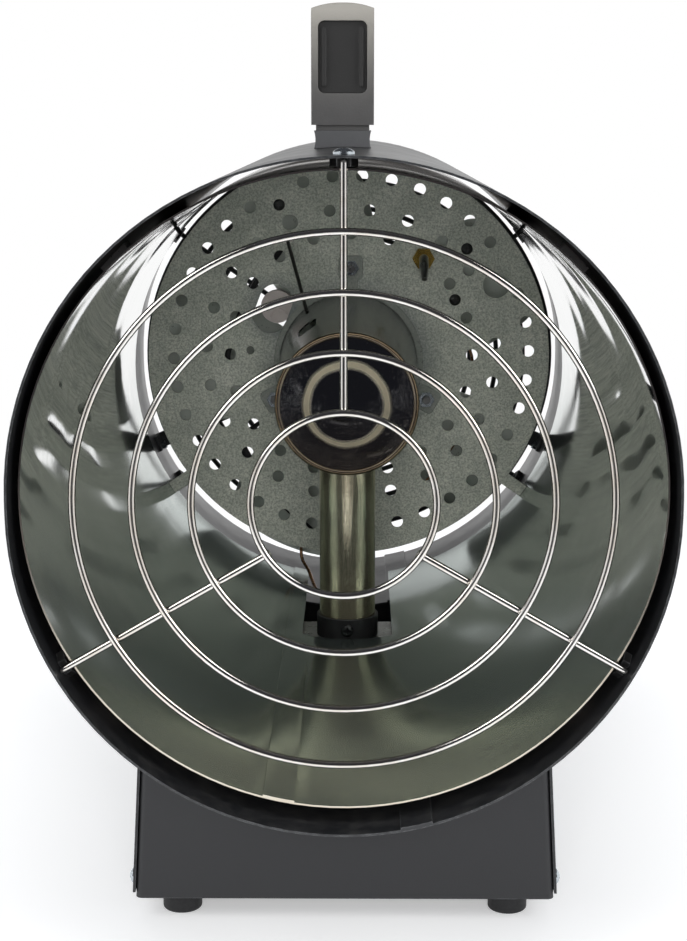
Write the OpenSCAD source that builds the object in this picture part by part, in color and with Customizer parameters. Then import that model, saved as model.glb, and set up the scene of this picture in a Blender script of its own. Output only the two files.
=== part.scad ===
// Gas forced air heater: a round steel tube with a burner and a fan inside, on a low folded base.
// Lengths named "_at" are distances behind the front rim. The origin is under the middle of the
// heater, on the floor, with the warm air leaving towards -Y.

/* [Tube] */
// Outside width of the outer shell
shell_w = 220; // [212:1:232]
// How much taller than wide the outer shell stands
shell_stretch = 5; // [1:0.5:7]
// Length of the outer shell
shell_len = 400; // [396:1:430]
// Sheet thickness of the outer shell
shell_t = 0.8; // [0.6:0.1:1]
// Width of the lapped seam under the outer shell
shell_lap = 11; // [6:1:16]
// Air gap beside the inner barrel
air_gap = 2.4; // [2.2:0.1:4]
// Height of the barrel's centre above the shell's centre
barrel_lift = 1.5; // [1:0.1:1.5]
// Sheet thickness of the inner barrel
barrel_t = 0.6; // [0.5:0.1:0.8]
// Front edge of the inner barrel
barrel_at = 8; // [7.8:0.1:10]
// Length of the inner barrel
barrel_len = 328; // [326:1:331]
// Width of the slot in the barrel's floor
slot_w = 40; // [32:1:42]
// Start of the slot in the barrel's floor
slot_at = 216; // [206:1:217]
// Length of a spacer block between barrel and shell
spacer_len = 12; // [8:1:20]

/* [Wire grilles] */
// Wire thickness of both grilles
wire_d = 2.5; // [2.2:0.1:2.6]
// Centre line of the front rings
rings_at = 4; // [3:0.1:4.1]
// Radius of the smallest front ring
ring_r = 30.4; // [24:0.2:36]
// Step from one front ring to the next
ring_step = 19.4; // [16:0.2:21]
// Number of front rings
ring_count = 4; // [3:1:4]
// How deep a ring is welded into a spoke
weld = 0.3; // [0.2:0.05:0.5]
// Centre line of the rear rings
guard_at = 395; // [393:0.5:395.5]
// Radius of the smallest rear ring
guard_r = 21.5; // [16:0.5:22]
// Step from one rear ring to the next
guard_step = 14; // [12:0.5:14.5]
// Number of rear rings
guard_count = 7; // [5:1:7]
// Distance of a grille's weld nut behind its rings
nut_back = 9.5; // [9.3:0.1:12]

/* [Screws] */
// Thread diameter of the grille and bracket screws
m4_d = 4; // [3.5:0.1:4.2]
// Head diameter of the grille and bracket screws
m4_head = 7; // [6:0.2:8]
// Head height of the grille and bracket screws
m4_rise = 2.3; // [1.8:0.1:2.6]
// Width across flats of the grille weld nuts
weld_nut_w = 8; // [7:0.2:8]
// Thickness of the grille weld nuts
weld_nut_t = 2.8; // [2.4:0.1:2.8]
// Thread diameter of the small cover screws
m3_d = 3; // [2.5:0.1:3.2]
// Head diameter of the small cover screws
m3_head = 5.6; // [5:0.1:6.4]
// Head height of the small cover screws
m3_rise = 2; // [1.6:0.1:2.2]

/* [Flame plate] */
// Diameter of the flame plate
plate_d = 197; // [190:1:198]
// Thickness of the flame plate
plate_t = 1; // [0.8:0.1:1.5]
// Front face of the flame plate
plate_at = 326; // [324:0.5:327]
// Height of the plate's centre above the shell's centre
plate_lift = 7.6; // [6:0.1:8.4]
// Diameter of the air holes
air_hole_d = 5.8; // [5:0.1:6.6]
// Radius of the outer circle of air holes
outer_holes_r = 87.1; // [86:0.1:90]
// Radius of the middle circle of air holes
middle_holes_r = 70.9; // [69:0.1:73]
// Radius of the inner circle of air holes
inner_holes_r = 59.4; // [57:0.1:62]
// Length of the tabs that hold the plate, bent to the rear
tab_len = 8; // [7:0.5:9]
// Width of the bent tabs
tab_w = 6; // [5.5:0.5:12]

/* [Burner] */
// Height of the burner's axis above the shell's centre
burner_lift = 5.5; // [4.5:0.5:7]
// Front face of the burner cup
cup_at = 187; // [184:1:190]
// Radius of the cup outside its rim bead
cup_r = 30.5; // [29:0.1:32]
// Thickness of the cup's rim bead
bead_d = 2.4; // [1.8:0.1:2.6]
// Radius of the cup's raised middle
cup_middle_r = 15.4; // [13:0.1:17]
// Radius at the foot of the cup's step
cup_step_r = 19; // [18:0.1:22]
// Height of the cup's step
cup_step = 3.5; // [2:0.1:4]
// Depth of the cup's side wall
cup_depth = 10; // [8:0.5:14]
// Sheet thickness of the cup and the burner tube
burner_t = 0.8; // [0.6:0.1:1]
// Radius of the burner tube at the flame plate
burner_r = 33.6; // [32.6:0.2:36.4]
// Radius of the circle of the burner's three nuts
lug_r = 43; // [42:0.1:44]
// Height of that circle's centre above the burner's axis
lug_up = 3.2; // [0:0.1:4]
// Side of a square burner lug
lug_w = 12; // [11:0.5:13]
// Width across flats of the burner nuts
m4_nut_w = 7; // [6.5:0.1:7.5]
// Thickness of the burner nuts
m4_nut_t = 3.2; // [2.6:0.1:3.4]
// Width of the lighting port in the burner tube
port_w = 10; // [6:0.5:12]
// Length of the lighting port
port_len = 26; // [14:1:30]
// Centre of the lighting port
port_at = 256; // [246:1:266]
// Axis of the riser tube
riser_at = 232; // [229:0.5:233]
// Diameter of the riser tube
riser_d = 25; // [23:0.2:25.4]
// Wall of the riser tube
riser_t = 1; // [0.8:0.1:1.5]
// Wall of the clamping collar on the riser
collar_t = 1.2; // [1:0.1:1.6]
// Height of the clamping collar
collar_h = 9.5; // [7:0.5:12]

/* [Fan] */
// Middle of the fan blades
fan_at = 351; // [350:0.5:352]
// Diameter of the fan
fan_d = 196; // [180:1:200]
// Number of blades
blade_count = 5; // [4:1:6]
// Width of a blade along its tip
blade_w = 62; // [50:1:64]
// Pitch of the blades in degrees
blade_pitch = 17; // [10:1:18]
// Thickness of a blade
blade_t = 1.2; // [1:0.1:1.6]
// Radius to which a blade is curved
blade_bend = 120; // [100:5:200]
// Diameter of the fan's hub
hub_d = 28; // [24:1:34]
// Length of the fan's hub
hub_len = 16; // [14:1:18]
// Diameter of the motor shaft
shaft_d = 8; // [6:0.5:9]
// Front face of the motor
motor_at = 364; // [363.5:0.5:365]
// Diameter of the motor
motor_d = 76; // [70:1:80]
// Length of the motor without its bearing bosses
motor_len = 24; // [22:1:25]
// Running clearance around turning parts
run_gap = 0.05; // [0.02:0.01:0.08]

/* [Base] */
// Front face of the base
base_at = 53.5; // [45:0.5:60]
// Length of the base
base_len = 332; // [328:1:336]
// Width across the foot of the base
base_w = 155.6; // [148:0.2:160]
// Clear height between the base floor and the shell
base_clear = 45; // [44:0.5:50]
// Sheet thickness of the base
base_t = 1; // [0.8:0.1:1.2]
// Inward lean of the base sides in degrees
base_lean = 3.2; // [1:0.1:4]
// Height of the tray's low side walls
tray_wall = 15; // [13:0.5:18]
// Height of a foot
foot_h = 8.2; // [7:0.1:14]
// Diameter of a foot
foot_d = 14.5; // [12:0.5:18]
// Distance of a foot's axis behind the end of the base
foot_in = 12; // [9:0.5:16]
// Distance from the middle to a foot's axis
foot_x = 60.5; // [50:0.5:64]

/* [Handle] */
// Front face of the handle
handle_at = 150; // [130:1:160]
// Length of the handle
handle_len = 125; // [115:1:140]
// Width of the handle
handle_w = 24.4; // [22:0.2:28]
// Height of the handle above the shell
handle_rise = 55.5; // [52:0.5:62]
// Thickness of the bar that the hand holds
bar_t = 18; // [15:0.5:20]
// Thickness of a handle leg
leg_t = 20; // [18:0.5:24]
// Height of the pedestal under a leg
pedestal_h = 6.4; // [6:0.2:10]
// Width of the inset in the handle's ends
inset_w = 19; // [16:0.2:20]
// Height of the inset in the handle's ends
inset_h = 27.5; // [24:0.5:29]

/* [Controls] */
// Height of the controls above the base floor
control_z = 27; // [25:0.5:28]
// Outside diameter of the gas inlet's thread
inlet_d = 16.6; // [14:0.1:17]
// Length of the gas inlet outside the rear panel
inlet_len = 28; // [24:1:34]
// Diameter of the round push buttons
button_d = 15; // [13:0.5:16]
// Travel of the gas valve's button
gas_travel = 6; // [4:0.5:7]
// Travel of the igniter's button
spark_travel = 7; // [5:0.5:7.5]
// Width of the switch's rocker
rocker_w = 11; // [9:0.5:12]
// Height of the switch's rocker
rocker_h = 19; // [17:0.5:20]
// Diameter of the mains cord that the gland takes
cord_d = 7; // [6:0.5:8]

/* [Hidden] */
$fn = 64;
slip = 0.05;
seat = 0.1;

shell_r = shell_w / 2;
shell_in = shell_r - shell_t;
half_stretch = shell_stretch / 2;
shell_top = shell_r + half_stretch;
barrel_r = shell_in - air_gap;
barrel_in = barrel_r - barrel_t;
axis_z = foot_h + base_clear + shell_top;
rear_at = base_at + base_len;
front_y = -(rear_at + inlet_len) / 2;

function hex_r(w) = w / sqrt(3);
function polar(r, a) = [r * cos(a), r * sin(a)];

// Angles are counter-clockwise from +X, as seen from the front.
front_spokes = [90, 210, 330];
rear_spokes = [35, 145, 215, 325];
arm_angles = [90, 204, 336];
plate_tabs = [90, 214, 325];
lug_angles = [90, 210, 330];
spacer_angles = [45, 135, 225, 315];
port_a = 127;
shell_lap_a = -77;
barrel_lap_a = -102;

spoke_at = rings_at + wire_d - weld;
guard_spoke_at = guard_at - wire_d + weld;
grille_nut_at = rings_at + nut_back;
guard_nut_at = guard_at - nut_back;
nut_mid_r = sqrt(pow(shell_in, 2) - pow(hex_r(weld_nut_w), 2)) - slip - weld_nut_t / 2;

window_at = slot_at - 6;
window_len = 92;
window_w = slot_w + 4;
grommet_at = rear_at - 13.5;
grommet_r = 6;
grommet_flange = 2;
spacer_ats = [40, 286];
tab_screw_at = plate_at + plate_t + tab_len / 2;
arm_t = 1.5;
arm_w = 8;
arm_tab = 13;
arm_at = motor_at + motor_len;
arm_screw_at = arm_at + arm_t - arm_tab / 2;
saddle_ats = [base_at + 46.5, rear_at - 69.5];
saddle_w = 14;
saddle_t = 1.5;
saddle_half = 42;
saddle_screw_a = 18.5;
handle_x = -1.5;
handle_leg_ats = [handle_at + leg_t / 2, handle_at + handle_len - leg_t / 2];
m5_d = 5;
m5_head = 8.5;
m5_rise = 2.6;
handle_screw_z = half_stretch - slip
    + sqrt(pow(shell_in, 2) - pow(abs(handle_x) + m5_head / 2, 2));

plate_r = plate_d / 2;
riser_r = riser_d / 2;
motor_r = motor_d / 2;
shaft_r = shaft_d / 2;
m4_hole = m4_d + 2 * slip;

thermocouple_d = 4.6;
thermocouple_nut_w = 9.5;
thermocouple_nut_t = 5;
insulator_r = 2.9;
spark_d = 1.8;
flange_t = 1;
cup_in = cup_r - 2 * burner_t;
lead_at = plate_at + plate_t + 4;
riser_top = burner_lift - 24;
riser_plate_w = 54;
riser_plate_l = 38;
riser_plate_t = 1.2;
riser_plate_z = seat - half_stretch - sqrt(pow(shell_in - shell_t, 2) - pow(riser_plate_w / 2, 2));
collar_z = riser_plate_z + riser_plate_t;
fan_r = fan_d / 2;
fan_nut_t = 3.6;
hub_front = fan_at - hub_len / 2;
cap_t = 5;
boss_r = 11;
boss_len = 2.4;
rotor_r = 19.5;
rotor_gap = 0.5;
bracket_r = 32;
bracket_hole_r = 26;
floor_z = -(shell_top + base_clear);
base_half = base_w / 2 - base_t - 0.1;
base_bend = 2.5;
panel_h = base_clear + shell_r - sqrt(pow(shell_r, 2) - pow(base_w / 2, 2)) + 3;
cover_gap = 0.15;
cover_up = 2;
cover_screw_up = 5.5;
cover_screw_ats = [base_at + 8.5, base_at + base_len / 2, rear_at - 5.5 - 3];
lean_run = tan(base_lean);
cover_flange_a = -acos((base_w / 2 - panel_h * lean_run - 3.2) / (shell_r + cover_gap));
handle_top = shell_top + handle_rise;
grip_foot = shell_top + pedestal_h;
crown = 2.4;
inset_depth = 3.2;
inset_t = 1.2;
inset_z = handle_top - 21;

// Places on the flame plate, from its centre: right, up.
thermocouple_p = [36.4, 48.8];
electrode_p = [-29.6, 58.6];
electrode_hole_p = [-28.5, 66];
electrode_hole_d = 7.6;
window_low_p = [-38.5, 20.3];
window_high_p = [-35.5, 28];
plate_window_r = 8.2;
holes_mid = [1.2, 1.5];
big_hole_p = [72, 35.7];
big_hole_d = 13;
small_hole_p = [-48.2, 3.7];
small_hole_d = 4;
plate_screws_p = [[-33.7, 74.5], [57.5, 53.3], [52, 28.5]];
switch_p = [-35, 25];
switch_r = 8;

// The middle of the burner's nuts, from the shell's centre: right, up.
lug_mid = [1, burner_lift + lug_up];

function lug_p(a) = polar(lug_r, a) + lug_mid - [0, plate_lift];
function far_from(p, q, d) = norm(p - q) > d;
function all_far(p, list, d) = len([for (q = list) if (!far_from(p, q, d)) 1]) == 0;
function open_place(p) =
    far_from(p, thermocouple_p, 10) && far_from(p, electrode_p, 9) && far_from(p, big_hole_p, 11)
    && all_far(p, plate_screws_p, 7) && all_far(p, [window_low_p, window_high_p, switch_p], 14)
    && all_far(p, [for (a = lug_angles) lug_p(a)], 13);
function hole_ring(r, count, turn) =
    [for (i = [0 : count - 1]) let (p = holes_mid + polar(r, turn + i * 360 / count)) if (open_place(p)) p];
air_holes = concat(hole_ring(outer_holes_r, 38, 1.2), hole_ring(middle_holes_r, 23, 4.5),
    hole_ring(inner_holes_r, 20, -0.2));

// Controls on the rear panel, from the shell's centre: right, up.
control_up = foot_h + control_z - axis_z;
inlet_p = [-32, control_up - 11];
gas_button_p = [-32, control_up + 9];
igniter_p = [6, control_up - 3];
rocker_p = [38, control_up];
gland_p = [60, control_up];
valve_w = 28;
valve_h = 34;
valve_len = 30;
valve_at = rear_at - base_t - 4.5 - valve_len;
stem_r = 4;
valve_boss_r = 6;
cap_len = 11;
igniter_r = 10.5;
igniter_len = 38;
igniter_at = rear_at - base_t - igniter_len;
rocker_gap = 0.15;
rocker_reach = 4;
rocker_back = 3;
rocker_tilt = 10;
pivot_r = 1.5;
frame_wall = 1.6;
frame_at = rear_at - 13;
pivot_at = rear_at - 2.3;
rocker_r = sqrt(pow(rocker_h / 2 - 1, 2) + pow(rocker_reach, 2)) + rocker_gap;
igniter_nose_r = 9.5;
frame_w = rocker_w + 2 * rocker_gap + 2 * frame_wall;
frame_h = 2 * rocker_r + 2 * frame_wall;
frame_lip = 1.2;
gland_r = 6;
gland_hex = 16;
gland_dome = 9;
pipe_p = [-26, -140];
pipe_d = 6;
nozzle_top = floor_z + base_clear - 11;
bracket_top = floor_z + 7.5;
riser_foot = -shell_top - 9;

// Places a piece at a distance behind the rim, to the right of and above the shell's centre.
module at(s, x = 0, z = 0) translate([x, front_y + s, axis_z + z]) children();

// Turns a half outline (radius, depth) about the line through a point along the tube.
module turned(s, x = 0, z = 0) at(s, x, z) rotate([-90, 0, 0]) rotate_extrude() children();

// A sheet standing across the tube, from an outline seen from the front.
module slab(s, t, x = 0, z = 0) at(s + t, x, z) rotate([90, 0, 0]) linear_extrude(t) children();

// A rod along the tube.
module rod(s, len, r, p = [0, 0]) at(s, p[0], p[1]) rotate([-90, 0, 0]) cylinder(r = r, h = len);

// Turns up into the outward direction at an angle round the tube.
module radial(a, s, z = 0) at(s, 0, z) rotate([0, 90 - a, 0]) children();

// Outward direction from the nearer of the two centres of the oval shell.
module shell_radial(a, s) radial(a, s, (sin(a) > 0 ? 1 : -1) * half_stretch) children();

module oval(r) {
    for (side = [-1, 1]) translate([0, side * half_stretch]) circle(r);
    square([2 * r, shell_stretch], center = true);
}

module ring(r_out, r_in) difference() {
    circle(r_out);
    circle(r_in);
}

module wedge(a, half, r) polygon([[0, 0], polar(r, a - half), polar(r, a), polar(r, a + half)]);

module rounded(w, h, r) {
    square([w - 2 * r, h], center = true);
    square([w, h - 2 * r], center = true);
    for (x = [-1, 1], y = [-1, 1]) translate([x * (w / 2 - r), y * (h / 2 - r)]) circle(r);
}

module hex(w, h, hole) difference() {
    cylinder(r = hex_r(w), h = h, $fn = 6);
    translate([0, 0, -1]) cylinder(d = hole, h = h + 2);
}

// A cross-head screw with its head above and its shank below the seat.
module pan_screw(d, head, rise, len) {
    sag = 0.6 * rise;
    dome = (head * head / 4 + sag * sag) / (2 * sag);
    difference() {
        intersection() {
            cylinder(d = head, h = rise);
            translate([0, 0, rise - dome]) sphere(dome);
        }
        for (turn = [0, 90]) rotate(turn)
            translate([0, 0, rise]) cube([head * 0.55, head * 0.12, rise], center = true);
    }
    translate([0, 0, -len]) cylinder(d = d, h = len);
}

// Points on a smooth curve through the given ones.
function spline(a, b, c, d, t) =
    0.5 * (2 * b + (c - a) * t + (2 * a - 5 * b + 4 * c - d) * t * t
    + (3 * b - a - 3 * c + d) * t * t * t);
function smooth(pts, steps) = [
    for (i = [0 : len(pts) - 2], k = [0 : steps - 1])
        spline(pts[max(i - 1, 0)], pts[i], pts[i + 1], pts[min(i + 2, len(pts) - 1)], k / steps),
    pts[len(pts) - 1]];
function unit(v) = v / norm(v);

// A round lead along a route of [right, depth, up] points.
module lead(route, d, sides, steps) {
    line = smooth(route, steps);
    last = len(line) - 1;
    ways = [for (i = [0 : last]) unit(line[min(i + 1, last)] - line[max(i - 1, 0)])];
    skew = [0.83, 0.37, 0.41];
    rings = [for (i = [0 : last]) let (u = unit(cross(ways[i], skew)), v = cross(ways[i], u))
        for (k = [0 : sides - 1]) let (a = k * 360 / sides)
            line[i] + d / 2 * (cos(a) * u + sin(a) * v)];
    quads = [for (i = [0 : last - 1], k = [0 : sides - 1]) let (n = (k + 1) % sides)
        [i * sides + k, (i + 1) * sides + k, (i + 1) * sides + n, i * sides + n]];
    caps = [[for (k = [0 : sides - 1]) k], [for (k = [0 : sides - 1]) last * sides + sides - 1 - k]];
    translate([0, front_y, axis_z]) polyhedron(points = rings, faces = concat(quads, caps));
}

module outer_shell() color("#202122") difference() {
    slab(0, shell_len) {
        difference() {
            oval(shell_r);
            oval(shell_in);
        }
        translate([0, -half_stretch]) intersection() {
            ring(shell_in + shell_t / 2, shell_in - shell_t);
            wedge(shell_lap_a, shell_lap / shell_r * 90 / PI, shell_r * 1.2);
        }
    }
    for (a = front_spokes) shell_radial(a, grille_nut_at)
        translate([0, 0, shell_r - 5]) cylinder(d = m4_hole, h = 10);
    for (a = rear_spokes) shell_radial(a, guard_nut_at)
        translate([0, 0, shell_r - 5]) cylinder(d = m4_hole, h = 10);
    for (a = arm_angles) shell_radial(a, arm_screw_at)
        translate([0, 0, shell_r - 5]) cylinder(d = m4_hole, h = 10);
    for (s = handle_leg_ats) at(s, handle_x, shell_top - 5) cylinder(d = m5_d + 2 * slip, h = 10);
    for (s = saddle_ats, side = [-1, 1]) shell_radial(-90 + side * saddle_screw_a, s + saddle_w / 2)
        translate([0, 0, shell_r - 5]) cylinder(d = m4_hole, h = 10);
    at(window_at + window_len / 2, 0, -shell_r) cube([window_w, window_len, 20], center = true);
    at(grommet_at, 0, -shell_r - 10) cylinder(r = grommet_r, h = 20);
}

module inner_barrel() color("#b9bcbc") difference() {
    slab(barrel_at, barrel_len, 0, barrel_lift) {
        ring(barrel_r, barrel_in);
        intersection() {
            ring(barrel_in + barrel_t / 2, barrel_in - barrel_t);
            wedge(barrel_lap_a, shell_lap / barrel_r * 90 / PI, shell_r);
        }
    }
    at(slot_at, -slot_w / 2, -shell_r) cube([slot_w, barrel_len, shell_r / 2]);
    for (a = plate_tabs) radial(a, tab_screw_at, barrel_lift)
        translate([0, 0, barrel_r - 5]) cylinder(d = m3_d + 2 * slip, h = 10);
}

module barrel_spacers() color("#8d8f90") for (s = spacer_ats, a = spacer_angles)
    slab(s, spacer_len) intersection() {
        difference() {
            oval(shell_in - slip);
            translate([0, barrel_lift]) circle(barrel_r + slip);
        }
        wedge(a, 3, shell_r * 1.2);
    }

// Welded rings on spokes whose ends turn along the shell to a weld nut.
module wire_grille(ring_at, spoke_s, nut_s, spokes, radii) {
    back = spoke_s > ring_at ? 1 : -1;
    tail = abs(nut_s - spoke_s) - weld_nut_w / 2;
    for (r = radii) turned(ring_at) translate([r, 0]) circle(d = wire_d);
    for (a = spokes) shell_radial(a, spoke_s) {
        inner = radii[0] - half_stretch;
        translate([0, 0, inner]) cylinder(d = wire_d, h = nut_mid_r - inner);
        translate([0, 0, nut_mid_r]) sphere(d = wire_d);
        translate([0, 0, nut_mid_r]) rotate([-90 * back, 0, 0]) cylinder(d = wire_d, h = tail);
    }
}

module weld_nuts(nut_s, spokes) for (a = spokes) shell_radial(a, nut_s)
    translate([0, 0, nut_mid_r - weld_nut_t / 2]) hex(weld_nut_w, weld_nut_t, m4_hole);

module shell_screws(s, angles, len) for (a = angles) shell_radial(a, s)
    translate([0, 0, shell_r]) pan_screw(m4_d, m4_head, m4_rise, len);

module front_grille() color("#d0d2d2")
    wire_grille(rings_at, spoke_at, grille_nut_at, front_spokes,
        [for (i = [0 : ring_count - 1]) ring_r + i * ring_step]);

module grille_nuts() color("#1c1c1c") weld_nuts(grille_nut_at, front_spokes);

module grille_screws() color("#c9d0d4")
    shell_screws(grille_nut_at, front_spokes, shell_t + weld_nut_t);

module plate_outline() difference() {
    union() {
        circle(plate_r);
        translate([0, barrel_lift - plate_lift]) intersection() {
            circle(barrel_in - seat);
            for (a = plate_tabs) tab_strip(a);
        }
    }
    for (p = air_holes) translate(p) circle(d = air_hole_d);
    translate([0, burner_lift - plate_lift]) circle(burner_r - burner_t);
    for (a = lug_angles) translate(lug_p(a)) circle(d = m4_hole);
    slant = window_high_p - window_low_p;
    translate(window_low_p) rotate(atan2(slant[1], slant[0])) {
        circle(plate_window_r);
        translate([0, -plate_window_r]) square([norm(slant), 2 * plate_window_r]);
        translate([norm(slant), 0]) circle(plate_window_r);
    }
    translate(big_hole_p) circle(d = big_hole_d);
    translate(small_hole_p) circle(d = small_hole_d);
    translate(electrode_hole_p) circle(d = electrode_hole_d);
    translate(thermocouple_p) circle(d = thermocouple_d + 2 * slip);
    translate(electrode_p) circle(r = insulator_r + slip);
    for (p = plate_screws_p) translate(p) circle(d = m3_d + 2 * slip);
}

module flame_plate() color("#6d746c") {
    slab(plate_at, plate_t, 0, plate_lift) plate_outline();
    difference() {
        slab(plate_at, plate_t + tab_len, 0, barrel_lift) intersection() {
            ring(barrel_in - seat, barrel_in - seat - plate_t);
            for (a = plate_tabs) tab_strip(a);
        }
        for (a = plate_tabs) radial(a, tab_screw_at, barrel_lift)
            translate([0, 0, barrel_r - 10]) cylinder(d = m3_d + 2 * slip, h = 20);
    }
}

module tab_strip(a) rotate(a) translate([0, -tab_w / 2]) square([shell_r, tab_w]);

module plate_screws() color("#4d5052") {
    for (a = plate_tabs) radial(a, tab_screw_at, barrel_lift)
        translate([0, 0, sqrt(pow(barrel_in - seat - plate_t, 2) - pow(m3_head / 2, 2)) - slip])
            rotate([180, 0, 0]) pan_screw(m3_d, m3_head, m3_rise, plate_t + seat + barrel_t + slip);
    for (p = plate_screws_p) at(plate_at, p[0], plate_lift + p[1]) rotate([90, 0, 0])
        pan_screw(m3_d, m3_head, m3_rise, plate_t + 3);
}

// Where a lug screw's line meets the burner parts in front of the plate.
module at_lugs(s) for (a = lug_angles) at(s, lug_mid[0] + lug_r * cos(a), lug_mid[1] + lug_r * sin(a))
    rotate([-90, 0, 0]) children();

// Turns up into the way from one [right, depth, up] point to another.
module towards(p, q) {
    run = q - p;
    translate([0, front_y, axis_z]) translate(p)
        rotate([0, acos(run[2] / norm(run)), atan2(run[1], run[0])]) children();
}

// A bar bent at each point of the route, with round elbows.
module bar(route, d) {
    for (i = [1 : len(route) - 1]) towards(route[i - 1], route[i])
        cylinder(d = d, h = norm(route[i] - route[i - 1]));
    for (i = [1 : len(route) - 2]) translate([0, front_y, axis_z]) translate(route[i]) sphere(d = d);
}

module burner_tube() color("#a9a489") difference() {
    straight_end = cup_at + cup_depth + 2;
    turned(0, 0, burner_lift) polygon([
        [cup_in - seat, cup_at + bead_d], [cup_in - seat, straight_end], [burner_r, plate_at],
        [burner_r - burner_t, plate_at], [cup_in - seat - burner_t, straight_end],
        [cup_in - seat - burner_t, cup_at + bead_d]]);
    radial(port_a, port_at, burner_lift) linear_extrude(60) {
        square([port_w, port_len - port_w], center = true);
        for (side = [-1, 1]) translate([0, side * (port_len - port_w) / 2]) circle(d = port_w);
    }
    at(riser_at, 0, burner_lift - 60) cylinder(r = riser_r + slip, h = 60);
}

module burner_flange() color("#7d8078") slab(plate_at - flange_t, flange_t, 0, burner_lift)
    difference() {
        union() {
            circle(burner_r + 3);
            translate([lug_mid[0], lug_up]) for (a = lug_angles) rotate(a) {
                translate([lug_r, 0]) rounded(lug_w, lug_w, 2.5);
                translate([burner_r - 4, -lug_w / 2 + 2.5]) square([lug_r - burner_r + 4, lug_w - 5]);
            }
        }
        circle(burner_r + slip);
        translate([lug_mid[0], lug_up]) for (a = lug_angles) translate(polar(lug_r, a))
            circle(d = m4_hole);
    }

module burner_studs() color("#8f9496") {
    at_lugs(plate_at - flange_t - m4_nut_t - 1.5)
        cylinder(d = m4_d, h = m4_nut_t + 1.5 + flange_t + plate_t);
    at_lugs(plate_at + plate_t) cylinder(d = m4_head, h = m4_rise);
}

module burner_nuts() color("#b9bfc2") at_lugs(plate_at - flange_t - m4_nut_t)
    hex(m4_nut_w, m4_nut_t, m4_hole);

module burner_cup() color("#a48f66") turned(cup_at, 0, burner_lift) {
    polygon([[0, -cup_step], [cup_middle_r, -cup_step], [cup_step_r, 0], [cup_r - bead_d / 2, 0],
        [cup_r - bead_d / 2, burner_t], [cup_step_r, burner_t],
        [cup_middle_r, burner_t - cup_step], [0, burner_t - cup_step]]);
    translate([cup_r - bead_d / 2, burner_t / 2]) circle(d = bead_d, $fn = 32);
    translate([cup_in, burner_t / 2]) square([burner_t, cup_depth]);
}

module riser_tube() color("#8b8564") at(riser_at, 0, riser_foot) difference() {
    cylinder(r = riser_r, h = riser_top - riser_foot);
    translate([0, 0, -1]) cylinder(r = riser_r - riser_t, h = riser_top - riser_foot + 2);
}

module riser_plate() color("#3a3b3b") at(riser_at, 0, riser_plate_z) difference() {
    translate([0, 0, riser_plate_t / 2])
        cube([riser_plate_w, riser_plate_l, riser_plate_t], center = true);
    translate([0, 0, -1]) cylinder(r = riser_r + slip, h = 5);
}

module riser_collar() color("#1b1b1b") at(riser_at, 0, collar_z) difference() {
    cylinder(r = riser_r + slip + collar_t, h = collar_h);
    translate([0, 0, -1]) cylinder(r = riser_r + slip, h = collar_h + 2);
    translate([0, 0, collar_h / 2]) rotate([90, 0, 0]) cylinder(d = m3_d + 2 * slip, h = 30);
}

module collar_screw() color("#8f9496")
    at(riser_at - riser_r - slip - collar_t, 0, collar_z + collar_h / 2)
        rotate([90, 0, 0]) pan_screw(m3_d, m3_head, m3_rise, collar_t);

module spark_insulator() color("#e6e2d6")
    turned(plate_at, electrode_p[0], plate_lift + electrode_p[1]) polygon([
        [spark_d / 2 + slip, -4], [insulator_r - 0.6, -4], [insulator_r, -3.4],
        [insulator_r, plate_t + slip], [insulator_r + 1, plate_t + slip],
        [insulator_r + 1, plate_t + 3], [spark_d / 2 + slip, plate_t + 3]]);

module spark_rod() color("#9c9284") {
    elbow = [electrode_p[0], plate_at - 8, plate_lift + electrode_p[1]];
    tip = [-18.6, port_at + 6, burner_lift + 31];
    rod(elbow[1] - spark_d / 2, plate_t + 10.5 + spark_d / 2, spark_d / 2, [elbow[0], elbow[2]]);
    towards(elbow, tip) cylinder(d = spark_d - slip, h = norm(tip - elbow));
}

module thermocouple_nut() color("#b58a1e")
    at(plate_at, thermocouple_p[0], plate_lift + thermocouple_p[1]) rotate([90, 0, 0])
        hex(thermocouple_nut_w, thermocouple_nut_t, thermocouple_d + 2 * slip);

module thermocouple_probe() color("#8b8d8c") {
    p = [thermocouple_p[0], plate_lift + thermocouple_p[1]];
    bend_at = plate_at - 8;
    bar([[p[0], lead_at - 1.5, p[1]], [p[0], bend_at, p[1]], [p[0], bend_at - 3, p[1] - 3]],
        thermocouple_d);
    towards([p[0], bend_at - 3, p[1] - 3], [p[0], bend_at - 9, p[1] - 9])
        cylinder(d1 = thermocouple_d, d2 = 2.6, h = 6 * sqrt(2));
}

module thermocouple_lead() color("#a5693c") {
    p = [thermocouple_p[0], plate_lift + thermocouple_p[1]];
    lead([[p[0], lead_at - 1.4, p[1]], [p[0], lead_at, p[1]], [p[0] + 0.6, lead_at + 1.4, p[1] - 1.2],
        [p[0] + 2.5, lead_at + 2, p[1] - 4.5],
        [52, lead_at + 1, 30], [62, lead_at + 1, 0], [54, lead_at + 1, -34], [26, lead_at + 1, -68],
        [-8, lead_at + 1, -80], [-22, lead_at + 0.5, -86], [-23.5, 328, -93.5], [-20, 322.5, -99],
        [-17.5, 315, -103.5], [-15, 305, -105.5], [-11.5, 296, -106.5], [-9.3, 289, -110.5],
        [-9, 286, -120],
        [-16, 294, -128], [-24, 318, -127], [-32, 336, -125], [-36, valve_at - 5, -125],
        [-36, valve_at - 0.1, -125]], 1.6, 8, 4);
}

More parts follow.
